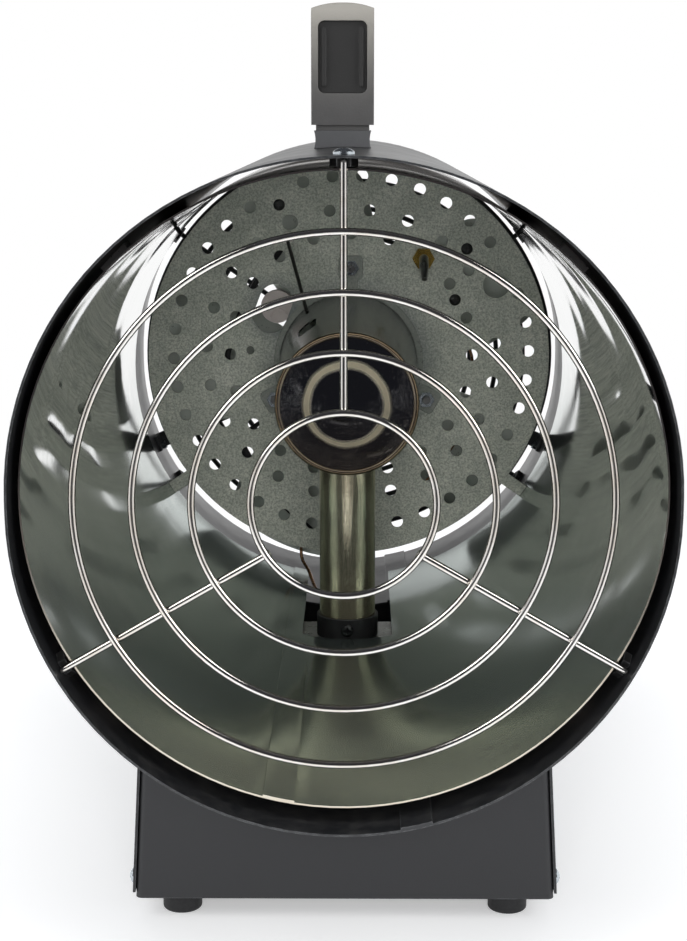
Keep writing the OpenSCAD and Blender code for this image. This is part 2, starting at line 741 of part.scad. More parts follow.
module ignition_lead() color("#7a1f1a") {
    z = plate_lift + electrode_p[1];
    lead([[electrode_p[0], plate_at + plate_t + 3.25, z], [electrode_p[0], lead_at + 1.5, z],
        [electrode_p[0] - 1.5, lead_at + 4.2, z - 2], [electrode_p[0] - 5, lead_at + 5.5, z - 8],
        [-48, lead_at + 5, 40], [-60, lead_at + 4, 8], [-57, lead_at + 4, -28],
        [-38, lead_at + 4.6, -62], [-14, lead_at + 4.6, -86], [-2, lead_at + 1, -98],
        [0, 322, -107.3], [0, 306, -107.5], [0, 294, -112], [1, 288, -122],
        [4, 297, -131], [6, 320, -133.5], [igniter_p[0], igniter_at - 0.1, igniter_p[1]]], 3, 8, 4);
}

module overheat_switch() color("#e9e6dc")
    at(plate_at + plate_t, switch_p[0], plate_lift + switch_p[1]) rotate([-90, 0, 0]) {
        difference() {
            cylinder(r = switch_r, h = 5);
            for (turn = [30, 120]) rotate(turn) cube([2 * switch_r - 4, 1.2, 1], center = true);
        }
        for (x = [-1, 1]) translate([x * 5, 0, 6.5]) cube([0.8, 4, 5], center = true);
    }

module blade_outline() intersection() {
    circle(fan_r);
    translate([fan_r - 44, 0]) rounded(90, blade_w, 14);
    polygon([[10, -9], [22, -11], [46, -24], [66, -blade_w / 2], [fan_r + 5, -blade_w / 2],
        [fan_r + 5, blade_w / 2], [66, blade_w / 2], [46, 24], [22, 11], [10, 9]]);
}

// A curved, pitched blade along local +X, with the fan's axis along local Z.
module blade() intersection() {
    translate([0, 0, -hub_len]) linear_extrude(2 * hub_len) blade_outline();
    rotate([blade_pitch, 0, 0]) translate([0, 0, -blade_bend]) rotate([0, 90, 0]) difference() {
        cylinder(r = blade_bend + blade_t / 2, h = fan_r + 5);
        translate([0, 0, -1]) cylinder(r = blade_bend - blade_t / 2, h = fan_r + 7);
    }
}

module fan_impeller() color("#a8aeaa") difference() {
    at(fan_at) rotate([90, 0, 0]) {
        for (i = [0 : blade_count - 1]) rotate(177 - i * 360 / blade_count) blade();
        translate([0, 0, -hub_len / 2]) cylinder(d = hub_d, h = hub_len);
    }
    rod(fan_at - hub_len, 2 * hub_len, shaft_r + slip);
}

module fan_nut() color("#b9bfc2") at(hub_front - fan_nut_t) rotate([-90, 0, 0])
    hex(13, fan_nut_t, shaft_d + 2 * slip);

module motor_shaft() color("#9aa0a2") {
    rod(hub_front - fan_nut_t - 0.5, motor_at + motor_len + boss_len - hub_front + fan_nut_t, shaft_r);
    rod(motor_at + cap_t + 2, motor_len - 2 * cap_t - 4, rotor_r);
}

module motor_stator() color("#5c5e60") difference() {
    rod(motor_at + cap_t, motor_len - 2 * cap_t, motor_r);
    rod(motor_at, motor_len, rotor_r + rotor_gap);
}

module motor_cap(s, back) difference() {
    union() {
        rod(s, cap_t, motor_r);
        rod(back > 0 ? s + cap_t : s - boss_len, boss_len, boss_r);
    }
    rod(s - 10, cap_t + 20, shaft_r + run_gap);
}

module motor_caps() color("#8e9294") difference() {
    union() {
        motor_cap(motor_at, -1);
        motor_cap(motor_at + motor_len - cap_t, 1);
    }
    for (a = [0 : 90 : 270]) rod(motor_at + motor_len - 4, 10, m4_hole / 2, polar(bracket_hole_r, a));
}

module motor_bracket() color("#3c3e40") difference() {
    union() {
        slab(arm_at, arm_t) {
            circle(bracket_r);
            arm_strips() oval(shell_in - seat);
        }
        slab(arm_at + arm_t - arm_tab, arm_tab) arm_strips() difference() {
            oval(shell_in - seat);
            oval(shell_in - seat - arm_t);
        }
    }
    rod(arm_at - 10, 30, boss_r + slip);
    for (a = [0 : 90 : 270]) rod(arm_at - 1, 10, m4_hole / 2, polar(bracket_hole_r, a));
    for (a = arm_angles) shell_radial(a, arm_screw_at)
        translate([0, 0, shell_r - 5]) cylinder(d = m4_hole, h = 10);
}

module arm_strips() intersection() {
    children();
    for (a = arm_angles) rotate(a) translate([0, -arm_w / 2]) square([shell_w, arm_w]);
}

module bracket_screws() color("#c9d0d4") {
    shell_screws(arm_screw_at, arm_angles, shell_t + seat + arm_t + 2);
    for (a = [0 : 90 : 270]) at(arm_at + arm_t, bracket_hole_r * cos(a), bracket_hole_r * sin(a))
        rotate([-90, 0, 0]) pan_screw(m4_d, m4_head, 1.8, arm_t + 3.5);
}

module motor_lead() color("#2b2b2b") lead([[0, 376, -motor_r - 0.1], [0, 376, -50], [0, 375, -75],
    [0, grommet_at, 12.5 - shell_top], [0, grommet_at, 4.5 - shell_top],
    [0, grommet_at, -2.7 - shell_top], [5, grommet_at - 0.5, -6.1 - shell_top],
    [19, rear_at - 16.5, -6.9 - shell_top], [31, rear_at - 22.5, -9.5 - shell_top],
    [rocker_p[0] - 1, rear_at - 24.5, rocker_p[1] + 1.5], [rocker_p[0], rear_at - 19.5, rocker_p[1]],
    [rocker_p[0], frame_at - 0.3, rocker_p[1]]], 5, 12, 4);

module lead_grommet() color("#1a1a1a") at(grommet_at) difference() {
    inner_z = -shell_in - half_stretch + 0.35;
    union() {
        translate([0, 0, -shell_top - 1]) cylinder(r = grommet_r - slip, h = 3);
        translate([0, 0, inner_z]) cylinder(r = grommet_r + grommet_flange, h = 1.8);
        translate([0, 0, -shell_top - 1.8]) cylinder(r = grommet_r + grommet_flange, h = 1.75);
    }
    translate([0, 0, -shell_top - 5]) cylinder(r = 3, h = 10);
}

module rear_guard() color("#232323")
    wire_grille(guard_at, guard_spoke_at, guard_nut_at, rear_spokes,
        [for (i = [0 : guard_count - 1]) guard_r + i * guard_step]);

module guard_nuts() color("#1c1c1c") weld_nuts(guard_nut_at, rear_spokes);

module guard_screws() color("#c9d0d4")
    shell_screws(guard_nut_at, rear_spokes, shell_t + weld_nut_t);

// Outline of a bend, with its round corner at the origin side.
module bend(w, h, r) {
    translate([-w, 0]) square([w - r, h]);
    translate([-w, r]) square([w, h - r]);
    translate([-r, r]) circle(r);
}

// A leaning corner post of an end panel, with a short flange along the side.
module panel_edge() rotate([0, -base_lean, 0]) linear_extrude(panel_h) difference() {
    bend(16, 12, base_bend);
    translate([-base_t, base_t]) bend(17, 13, base_bend - base_t);
}

module end_panel() difference() {
    union() {
        for (side = [0, 1]) mirror([side, 0, 0]) translate([base_half, 0, 0]) panel_edge();
        translate([0, base_t, 0]) rotate([90, 0, 0]) linear_extrude(base_t)
            polygon([[-base_half + 8, 0], [base_half - 8, 0],
                [base_half - 8 - panel_h * lean_run, panel_h],
                [-base_half + 8 + panel_h * lean_run, panel_h]]);
    }
    translate([0, -50, shell_top + base_clear]) rotate([-90, 0, 0]) linear_extrude(100)
        oval(shell_r + 0.2);
    translate([-base_w, -50, -10]) cube([2 * base_w, 100, 10]);
}

module base_tray() color("#3c3e40") difference() {
    union() {
        at(base_at, 0, floor_z) end_panel();
        at(rear_at, 0, floor_z) mirror([0, 1, 0]) end_panel();
        at(base_at + base_len / 2, 0, floor_z + base_t / 2)
            cube([2 * base_half - 1, base_len - 2 * base_bend, base_t], center = true);
        at(base_at + base_len / 2, 0, floor_z + base_t / 2)
            cube([2 * base_half - 2 * base_bend, base_len - 1, base_t], center = true);
        for (side = [0, 1]) mirror([side, 0, 0]) slab(base_at + base_bend, base_len - 2 * base_bend)
            polygon([[base_half, floor_z], [base_half - tray_wall * lean_run, floor_z + tray_wall],
                [base_half - base_t - tray_wall * lean_run, floor_z + tray_wall],
                [base_half - base_t, floor_z]]);
    }
    for (x = [-1, 1], s = [base_at + foot_in, rear_at - foot_in])
        at(s, x * foot_x, floor_z - 1) cylinder(d = m4_hole, h = 4);
    for (side = [-1, 1], s = cover_screw_ats) on_cover(side, s) translate([0, 0, -8])
        cylinder(d = m3_d + 2 * slip, h = 16);
    rod(rear_at - 5, 10, valve_boss_r + slip, inlet_p);
    rod(rear_at - 5, 10, valve_boss_r + slip, gas_button_p);
    rod(rear_at - 5, 10, igniter_nose_r + slip, igniter_p);
    rod(rear_at - 5, 10, gland_r + slip, gland_p);
    slab(rear_at - 5, 10, rocker_p[0], rocker_p[1]) square([frame_w + 0.2, frame_h + 0.2], center = true);
}

// Turns up into the outward direction of a side cover, at the height of its screws.
module on_cover(side, s) at(s, side * (base_w / 2 - cover_screw_up * lean_run), floor_z + cover_screw_up)
    rotate([0, side * (90 - base_lean), 0]) children();

module side_cover() difference() {
    slab(base_at + 0.5, base_len - 1) cover_profile();
    slab(base_at - 1, 14.5) cover_flange_zone();
    slab(rear_at - 13.5, 14.5) cover_flange_zone();
    for (s = cover_screw_ats) on_cover(1, s) translate([0, 0, -4]) cylinder(d = m3_d + 2 * slip, h = 8);
}

// The cover's sheet leans with the base and ends in a flange under the shell.
module cover_profile() {
    out = base_w / 2 + 0.1;
    reach = panel_h * lean_run;
    intersection() {
        polygon([[0, floor_z + cover_up], [out - cover_up * lean_run, floor_z + cover_up],
            [out - reach, floor_z + panel_h], [0, floor_z + panel_h]]);
        difference() {
            union() {
                polygon([[out, floor_z], [out - reach, floor_z + panel_h],
                    [out - base_t - reach, floor_z + panel_h], [out - base_t, floor_z]]);
                translate([0, -half_stretch]) intersection() {
                    circle(shell_r + cover_gap + base_t);
                    wedge(cover_flange_a, 4, shell_w);
                }
            }
            oval(shell_r + cover_gap);
        }
    }
}

// The room inside the cover's sheet.
module cover_flange_zone() {
    out = base_w / 2 - base_t + 0.1;
    polygon([[0, floor_z], [out, floor_z], [out - panel_h * lean_run, floor_z + panel_h],
        [0, floor_z + panel_h]]);
}

module side_cover_left() color("#38393b") mirror([1, 0, 0]) side_cover();

module side_cover_right() color("#38393b") side_cover();

module cover_screws() color("#a3b4bd") for (side = [-1, 1], s = cover_screw_ats)
    on_cover(side, s) translate([0, 0, 0.1 + slip]) pan_screw(m3_d, m3_head, m3_rise, 2 * base_t + 1);

module feet() color("#161616")
    for (x = [-1, 1], s = [base_at + foot_in, rear_at - foot_in]) at(s, x * foot_x, floor_z - foot_h)
        rotate_extrude() difference() {
            union() {
                translate([0, 1.2]) square([foot_d / 2, foot_h - 1.2]);
                square([foot_d / 2 - 1.2, foot_h]);
                translate([foot_d / 2 - 1.2, 1.2]) circle(1.2);
            }
            translate([0, 3]) square([m4_hole / 2, foot_h]);
            translate([-foot_d, 0]) square([foot_d, foot_h]);
        }

module foot_screws() color("#a3b4bd")
    for (x = [-1, 1], s = [base_at + foot_in, rear_at - foot_in]) at(s, x * foot_x, floor_z + base_t)
        pan_screw(m4_d, m4_head, m4_rise, base_t + foot_h - 4);

module saddle(s) difference() {
    union() {
        slab(s, saddle_t) difference() {
            translate([-saddle_half, floor_z + base_t]) square([2 * saddle_half, base_clear + 10]);
            oval(shell_r + slip);
            translate([-saddle_half + 9, floor_z + 8]) square([2 * saddle_half - 18, base_clear - 20]);
        }
        slab(s, saddle_w) difference() {
            intersection() {
                oval(shell_r + slip + saddle_t);
                translate([-saddle_half, -shell_w]) square([2 * saddle_half, shell_w]);
            }
            oval(shell_r + slip);
        }
        at(s, -saddle_half, floor_z + base_t) cube([2 * saddle_half, saddle_w, saddle_t]);
    }
    for (side = [-1, 1]) shell_radial(-90 + side * saddle_screw_a, s + saddle_w / 2)
        translate([0, 0, shell_r - 5]) cylinder(d = m4_hole, h = 10);
}

module saddles() color("#3c3e40") for (s = saddle_ats) saddle(s);

module saddle_screws() color("#a3b4bd") for (s = saddle_ats, side = [-1, 1])
    shell_radial(-90 + side * saddle_screw_a, s + saddle_w / 2)
        translate([0, 0, shell_in - seat]) rotate([180, 0, 0])
            pan_screw(m4_d, m4_head, m4_rise, shell_t + saddle_t + 2);

module handle_side() difference() {
    union() {
        translate([handle_at, grip_foot + 2]) square([handle_len, handle_rise - pedestal_h - 12]);
        translate([handle_at + 9, grip_foot + 2])
            square([handle_len - 18, handle_rise - pedestal_h - 2]);
        for (x = [9, handle_len - 9]) translate([handle_at + x, handle_top - 9]) circle(9);
        for (s = handle_leg_ats) translate([s - leg_t / 2 + 1, grip_foot]) square([leg_t - 2, 3]);
    }
    finger_h = handle_rise - pedestal_h - bar_t;
    translate([handle_at + handle_len / 2, handle_top - bar_t - finger_h / 2 - 20])
        rounded(handle_len - 2 * leg_t, finger_h + 40, 8);
}

// The bar's cross-section, with its crowned top and narrow neck.
module handle_front() {
    crown_r = (pow(handle_w / 2, 2) + crown * crown) / (2 * crown);
    intersection() {
        translate([-handle_w / 2, grip_foot + 2.2]) square([handle_w, handle_rise]);
        translate([0, handle_top - crown_r]) circle(crown_r, $fn = 128);
    }
    translate([-handle_w / 2 + 1.8, grip_foot]) square([handle_w - 3.6, 5]);
}

module handle_grip() color("#6b6c6e") translate([handle_x, 0, 0]) difference() {
    intersection() {
        translate([-handle_w, front_y, axis_z]) rotate([90, 0, 90])
            linear_extrude(2 * handle_w) handle_side();
        slab(handle_at - 1, handle_len + 2) handle_front();
    }
    for (s = [handle_at, handle_at + handle_len]) slab(s - inset_depth, 2 * inset_depth, 0, inset_z)
        rounded(inset_w, inset_h, 2.5);
    for (s = handle_leg_ats) at(s, 0, shell_top) cylinder(d = m5_d + 2 * slip, h = 30);
}

module handle_insets() color("#2f3033") for (back = [0, 1])
    translate([handle_x, front_y + handle_at + handle_len / 2, axis_z + inset_z]) mirror([0, back, 0])
        translate([0, inset_depth - handle_len / 2, 0]) rotate([90, 0, 0]) {
            linear_extrude(inset_t) rounded(inset_w - 2 * slip, inset_h - 2 * slip, 2.4);
            for (x = [-1, 1]) translate([x * (inset_w / 2 - 2.2), 0, inset_t])
                linear_extrude(inset_depth - inset_t - 0.3) rounded(1.6, inset_h - 5, 0.7);
        }

module handle_pedestals() color("#5f6264") for (s = handle_leg_ats) difference() {
    slab(s - leg_t / 2, leg_t) difference() {
        translate([handle_x - handle_w / 2, shell_top - 3]) square([handle_w, pedestal_h + 3]);
        for (x = [-1, 1]) translate([handle_x + x * (handle_w / 2 + 10), shell_top + pedestal_h * 0.45])
            circle(11.6);
        oval(shell_r + seat, $fn = 256);
    }
    at(s, handle_x, shell_top - 5) cylinder(d = m5_d + 2 * slip, h = 20);
}

module handle_screws() color("#8f9496") for (s = handle_leg_ats)
    at(s, handle_x, handle_screw_z) rotate([180, 0, 0])
        pan_screw(m5_d, m5_head, m5_rise, shell_top - handle_screw_z + pedestal_h + 18);

module gas_valve() color("#a8a294") difference() {
    union() {
        at(valve_at + valve_len / 2, gas_button_p[0], control_up)
            cube([valve_w, valve_len, valve_h], center = true);
        rod(valve_at + valve_len, rear_at - valve_at - valve_len, valve_boss_r, gas_button_p);
    }
    rod(rear_at - 24, 30, stem_r + run_gap, gas_button_p);
}

module gas_inlet() color("#b08d4a") difference() {
    union() {
        rod(valve_at + valve_len, rear_at - valve_at - valve_len, valve_boss_r, inlet_p);
        at(rear_at, inlet_p[0], inlet_p[1]) rotate([-90, 0, 0])
            cylinder(r = hex_r(19), h = 5, $fn = 6);
        rod(rear_at, inlet_len, inlet_d / 2, inlet_p);
    }
    rod(valve_at + valve_len - 1, inlet_len + 10, 3, inlet_p);
}

module gas_button() color("#b3211c") {
    out = rear_at + gas_travel + 1;
    rod(rear_at - 17, out - rear_at + 17, stem_r, gas_button_p);
    turned(out, gas_button_p[0], gas_button_p[1]) polygon([[0, 0], [button_d / 2, 0],
        [button_d / 2, cap_len - 1.5], [button_d / 2 - 1.5, cap_len], [0, cap_len]]);
}

module gas_pipe() color("#b0774a") bar([[pipe_p[0], valve_at, pipe_p[1]],
    [pipe_p[0], riser_at, pipe_p[1]], [-7, riser_at, pipe_p[1]]], pipe_d);

module gas_nozzle() color("#b58a1e") {
    at(riser_at, 0, pipe_p[1]) cube([14, 14, 11], center = true);
    at(riser_at, 0, bracket_top) cylinder(r = 4, h = pipe_p[1] - bracket_top);
    at(riser_at, 0, pipe_p[1] + 5.5) {
        cylinder(r = hex_r(9), h = 4, $fn = 6);
        cylinder(r = 3, h = nozzle_top - pipe_p[1] - 5.5);
    }
}

module nozzle_bracket() color("#8d8f90") {
    at(riser_at, 0, bracket_top - 0.75) cube([34, 18, 1.5], center = true);
    for (x = [-1, 1]) at(riser_at, x * 16.25, (floor_z + base_t + bracket_top) / 2)
        cube([1.5, 18, bracket_top - floor_z - base_t], center = true);
}

module igniter_body() color("#2a2b2d") turned(igniter_at, igniter_p[0], igniter_p[1]) polygon([
    [0, 0], [igniter_r, 0], [igniter_r, igniter_len], [igniter_nose_r, igniter_len],
    [igniter_nose_r, igniter_len + base_t], [igniter_r + 1, igniter_len + base_t],
    [igniter_r + 1, igniter_len + base_t + 2], [button_d / 2 + 1, igniter_len + base_t + 3],
    [button_d / 2 + run_gap, igniter_len + base_t + 3], [button_d / 2 + run_gap, 19], [0, 19]]);

module igniter_button() color("#1c1c1c") {
    out = rear_at + spark_travel + 5;
    turned(0, igniter_p[0], igniter_p[1]) polygon([[0, rear_at - 10.5], [button_d / 2, rear_at - 10.5],
        [button_d / 2, out - 1], [button_d / 2 - 1, out], [0, out]]);
}

module switch_frame() color("#1d1e20") at(rear_at, rocker_p[0], rocker_p[1]) difference() {
    union() {
        translate([0, (frame_at - rear_at) / 2, 0])
            cube([frame_w, rear_at - frame_at, frame_h], center = true);
        translate([0, frame_lip / 2, 0]) cube([frame_w + 3.5, frame_lip, frame_h + 4], center = true);
    }
    translate([-frame_w / 2 + frame_wall, frame_at - rear_at + frame_wall, -rocker_r])
        cube([frame_w - 2 * frame_wall, 30, 2 * rocker_r]);
    translate([-frame_w, pivot_at - rear_at, 0]) rotate([0, 90, 0])
        cylinder(r = pivot_r + run_gap, h = 2 * frame_w);
}

module switch_rocker() color("#3a0f0e") at(pivot_at, rocker_p[0], rocker_p[1]) {
    half = rocker_h / 2 - 1;
    rotate([rocker_tilt, 0, 0]) translate([-rocker_w / 2, 0, 0]) rotate([90, 0, 90])
        linear_extrude(rocker_w) polygon([[-rocker_back, -half], [-rocker_back, half],
            [rocker_reach, half], [rocker_reach * 0.6, 0], [rocker_reach, -half]]);
    rotate([0, 90, 0]) cylinder(r = pivot_r, h = frame_w - 1, center = true);
}

module cord_gland() color("#1d1e20") at(rear_at, gland_p[0], gland_p[1]) rotate([-90, 0, 0])
    difference() {
        union() {
            translate([0, 0, -base_t - 7]) cylinder(r = gland_r, h = base_t + 8);
            cylinder(r = hex_r(gland_hex), h = 6, $fn = 6);
            translate([0, 0, 6]) cylinder(r = gland_hex / 2 - 0.3, h = gland_dome - 3);
            translate([0, 0, 3 + gland_dome]) cylinder(r = gland_hex / 2 - 1.6, h = 3);
        }
        translate([0, 0, -20]) cylinder(d = cord_d, h = 60);
    }

module gland_nut() color("#1d1e20") at(rear_at - base_t, gland_p[0], gland_p[1]) rotate([90, 0, 0])
    hex(gland_hex, 4, 2 * gland_r + 2 * slip);

outer_shell();
inner_barrel();
barrel_spacers();
front_grille();
grille_nuts();
grille_screws();
flame_plate();
plate_screws();
burner_tube();
burner_flange();
burner_studs();
burner_nuts();
burner_cup();
riser_tube();
riser_plate();
riser_collar();
collar_screw();
spark_insulator();
spark_rod();
thermocouple_nut();
thermocouple_probe();
thermocouple_lead();
ignition_lead();
overheat_switch();
fan_impeller();
fan_nut();
motor_shaft();
motor_stator();
motor_caps();
motor_bracket();
bracket_screws();
motor_lead();
lead_grommet();
rear_guard();
guard_nuts();
guard_screws();
base_tray();
side_cover_left();
side_cover_right();
cover_screws();
feet();
foot_screws();
saddles();
saddle_screws();
handle_grip();
handle_insets();
handle_pedestals();
handle_screws();
gas_valve();
gas_inlet();
gas_button();
gas_pipe();
gas_nozzle();
nozzle_bracket();
igniter_body();
igniter_button();
switch_frame();
switch_rocker();
cord_gland();
gland_nut();
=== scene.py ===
"""Looks of a gas forced air heater: finishes, floor, lamps, world and camera.

Lengths are metres in the frame's own axes: +Z up, the warm air leaves towards -Y.
"""

import logging
import math
from dataclasses import dataclass, field
from enum import Enum
from typing import Sequence

import bpy
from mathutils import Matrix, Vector


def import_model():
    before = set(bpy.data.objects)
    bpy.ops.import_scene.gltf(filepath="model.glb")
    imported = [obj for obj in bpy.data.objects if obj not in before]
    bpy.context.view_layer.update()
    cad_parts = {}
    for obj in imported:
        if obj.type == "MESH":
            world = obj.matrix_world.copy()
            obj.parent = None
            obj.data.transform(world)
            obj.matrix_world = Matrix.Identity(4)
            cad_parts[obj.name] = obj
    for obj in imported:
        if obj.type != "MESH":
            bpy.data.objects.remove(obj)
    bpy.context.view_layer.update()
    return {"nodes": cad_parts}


LOG = logging.getLogger("heater")

Node = bpy.types.Node
Socket = bpy.types.NodeSocket
Colour = tuple[float, float, float]

# Heights of the tube's axis and of the burner's, which lies a little above it.
TUBE_AXIS = 0.1657
CUP_AXIS = 0.1712

WHITE: Colour = (1.0, 1.0, 1.0)
DUST: Colour = (0.32, 0.31, 0.29)
SOOT: Colour = (0.06, 0.05, 0.04)
# Near black of the painted shade along the edges of galvanised sheet.
EDGE_SHADE: Colour = (0.01, 0.01, 0.01)


class Flow(Enum):
    """Which way a group socket carries its value."""

    IN = "INPUT"
    OUT = "OUTPUT"


class Kind(Enum):
    """Kinds of value that a group socket carries."""

    NUMBER = "NodeSocketFloat"
    VECTOR = "NodeSocketVector"
    COLOUR = "NodeSocketColor"


@dataclass
class Graph:
    """A node tree with short calls for adding and joining nodes.

    Args:
        tree: The tree that the nodes are added to.
    """

    tree: bpy.types.NodeTree

    def add(self, kind: str, inputs: dict | None = None, **props: object) -> Node:
        """Adds a node, sets its properties and feeds its inputs.

        Args:
            kind: Blender's name of the node type.
            inputs: Input names or numbers with a plain value or a socket to link.
            **props: Properties of the node itself.

        Returns:
            The new node.
        """
        node = self.tree.nodes.new(kind)
        for name, value in props.items():
            setattr(node, name, value)
        for name, value in (inputs or {}).items():
            self.feed(node.inputs[name], value)
        return node

    def feed(self, target: Socket, value: object) -> None:
        """Links a socket to an input, or sets the input's own value.

        Args:
            target: The input to feed.
            value: A socket, a number, or a tuple of numbers.
        """
        if isinstance(value, Socket):
            self.tree.links.new(value, target)
        elif isinstance(value, tuple) and target.type == "RGBA" and len(value) == 3:
            target.default_value = (*value, 1.0)
        else:
            target.default_value = value

    def math(self, operation: str, *values: object, clamp: bool = False) -> Socket:
        """Adds a math node.

        Args:
            operation: Blender's name of the operation.
            *values: Numbers or sockets, in order.
            clamp: Whether the result is kept between 0 and 1.

        Returns:
            The result's socket.
        """
        node = self.add("ShaderNodeMath", dict(enumerate(values)), operation=operation)
        node.use_clamp = clamp
        return node.outputs[0]

    def blend(self, mask: object, low: object, high: object, mode: str = "MIX") -> Socket:
        """Blends two colours by a mask.

        Args:
            mask: Share of the second colour.
            low: Colour where the mask is 0.
            high: Colour where the mask is 1.
            mode: Blender's name of the blend type.

        Returns:
            The blended colour's socket.
        """
        node = self.add("ShaderNodeMix", data_type="RGBA", blend_type=mode)
        self.feed(node.inputs[0], mask)
        self.feed(node.inputs[6], low)
        self.feed(node.inputs[7], high)
        return node.outputs[2]

    def span(self, value: object, low: float, high: float, to_low: float, to_high: float) -> Socket:
        """Maps a value from one range to another, clamped.

        Args:
            value: The value or socket to map.
            low: Start of the range that comes in.
            high: End of the range that comes in.
            to_low: Start of the range that goes out.
            to_high: End of the range that goes out.

        Returns:
            The mapped value's socket.
        """
        node = self.add("ShaderNodeMapRange", {0: value, 1: low, 2: high, 3: to_low, 4: to_high})
        return node.outputs[0]

    def ramp(self, value: object, stops: Sequence[tuple[float, Colour]]) -> Socket:
        """Colours a value by a ramp.

        Args:
            value: The value from 0 to 1.
            stops: Places and colours along the ramp.

        Returns:
            The colour's socket.
        """
        node = self.add("ShaderNodeValToRGB", {0: value})
        ramp = node.color_ramp
        while len(ramp.elements) < len(stops):
            ramp.elements.new(0.5)
        for element, (place, colour) in zip(ramp.elements, stops):
            element.position = place
            element.color = (*colour, 1.0)
        return node.outputs[0]

    def noise(
        self, vector: object, scale: object, detail: float = 3.0, rough: float = 0.5
    ) -> Socket:
        """Adds a noise texture.

        Args:
            vector: Place to sample.
            scale: Waves per metre.
            detail: Number of finer layers.
            rough: Strength of the finer layers.

        Returns:
            The noise value's socket.
        """
        node = self.add(
            "ShaderNodeTexNoise",
            {"Vector": vector, "Scale": scale, "Detail": detail, "Roughness": rough},
        )
        return node.outputs[0]

    def place(self, stretch: tuple[float, float, float] = (1.0, 1.0, 1.0)) -> Socket:
        """Gives object coordinates, stretched per axis.

        Args:
            stretch: Factor along each axis.

        Returns:
            The coordinates' socket.
        """
        coords = self.add("ShaderNodeTexCoord").outputs["Object"]
        if stretch == (1.0, 1.0, 1.0):
            return coords
        return self.add("ShaderNodeMapping", {"Vector": coords, "Scale": stretch}).outputs[0]

    def vector(self, operation: str, *values: object) -> Node:
        """Adds a vector math node.

        Args:
            operation: Blender's name of the operation.
            *values: Vectors or sockets, in order.

        Returns:
            The new node.
        """
        return self.add("ShaderNodeVectorMath", dict(enumerate(values)), operation=operation)

    def bump(self, height: Socket, strength: object, depth: object, **more: object) -> Socket:
        """Adds a bump.

        Args:
            height: The height's socket.
            strength: Strength of the bump.
            depth: Distance in metres that a height of 1 stands for.
            **more: Other inputs of the node, such as the normal that it starts from.

        Returns:
            The bumped normal's socket.
        """
        inputs = {"Strength": strength, "Distance": depth, "Height": height, **more}
        return self.add("ShaderNodeBump", inputs).outputs[0]

    def split(self, vector: object) -> tuple[Socket, Socket, Socket]:
        """Takes a vector apart.

        Args:
            vector: The vector's socket.

        Returns:
            The sockets of its X, Y and Z.
        """
        return tuple(self.add("ShaderNodeSeparateXYZ", {0: vector}).outputs)

    def reach(self, height: float, side: float = 0.0) -> Socket:
        """Gives the distance from a line along the tube.

        Args:
            height: Height of the line in metres.
            side: Place of the line to the right in metres.

        Returns:
            The distance's socket.
        """
        moved = self.vector("SUBTRACT", self.place(), (side, 0.0, height))
        flat = self.vector("MULTIPLY", moved.outputs[0], (1.0, 0.0, 1.0))
        return self.vector("LENGTH", flat.outputs[0]).outputs["Value"]


GroupSocket = tuple[str, Flow, Kind, float]
MASK: GroupSocket = ("Mask", Flow.OUT, Kind.NUMBER, 0.0)


def make_group(name: str, plan: Sequence[GroupSocket]) -> tuple[Graph, Node, Node]:
    """Starts a shader node group with named sockets.

    Args:
        name: Name of the group.
        plan: Name, direction, kind and default of each socket.

    Returns:
        The group's graph, its input node and its output node.
    """
    tree = bpy.data.node_groups.new(name, "ShaderNodeTree")
    for label, flow, kind, default in plan:
        socket = tree.interface.new_socket(name=label, in_out=flow.value, socket_type=kind.value)
        if flow is Flow.IN and kind is Kind.NUMBER:
            socket.default_value = default
    graph = Graph(tree)
    return graph, graph.add("NodeGroupInput"), graph.add("NodeGroupOutput")


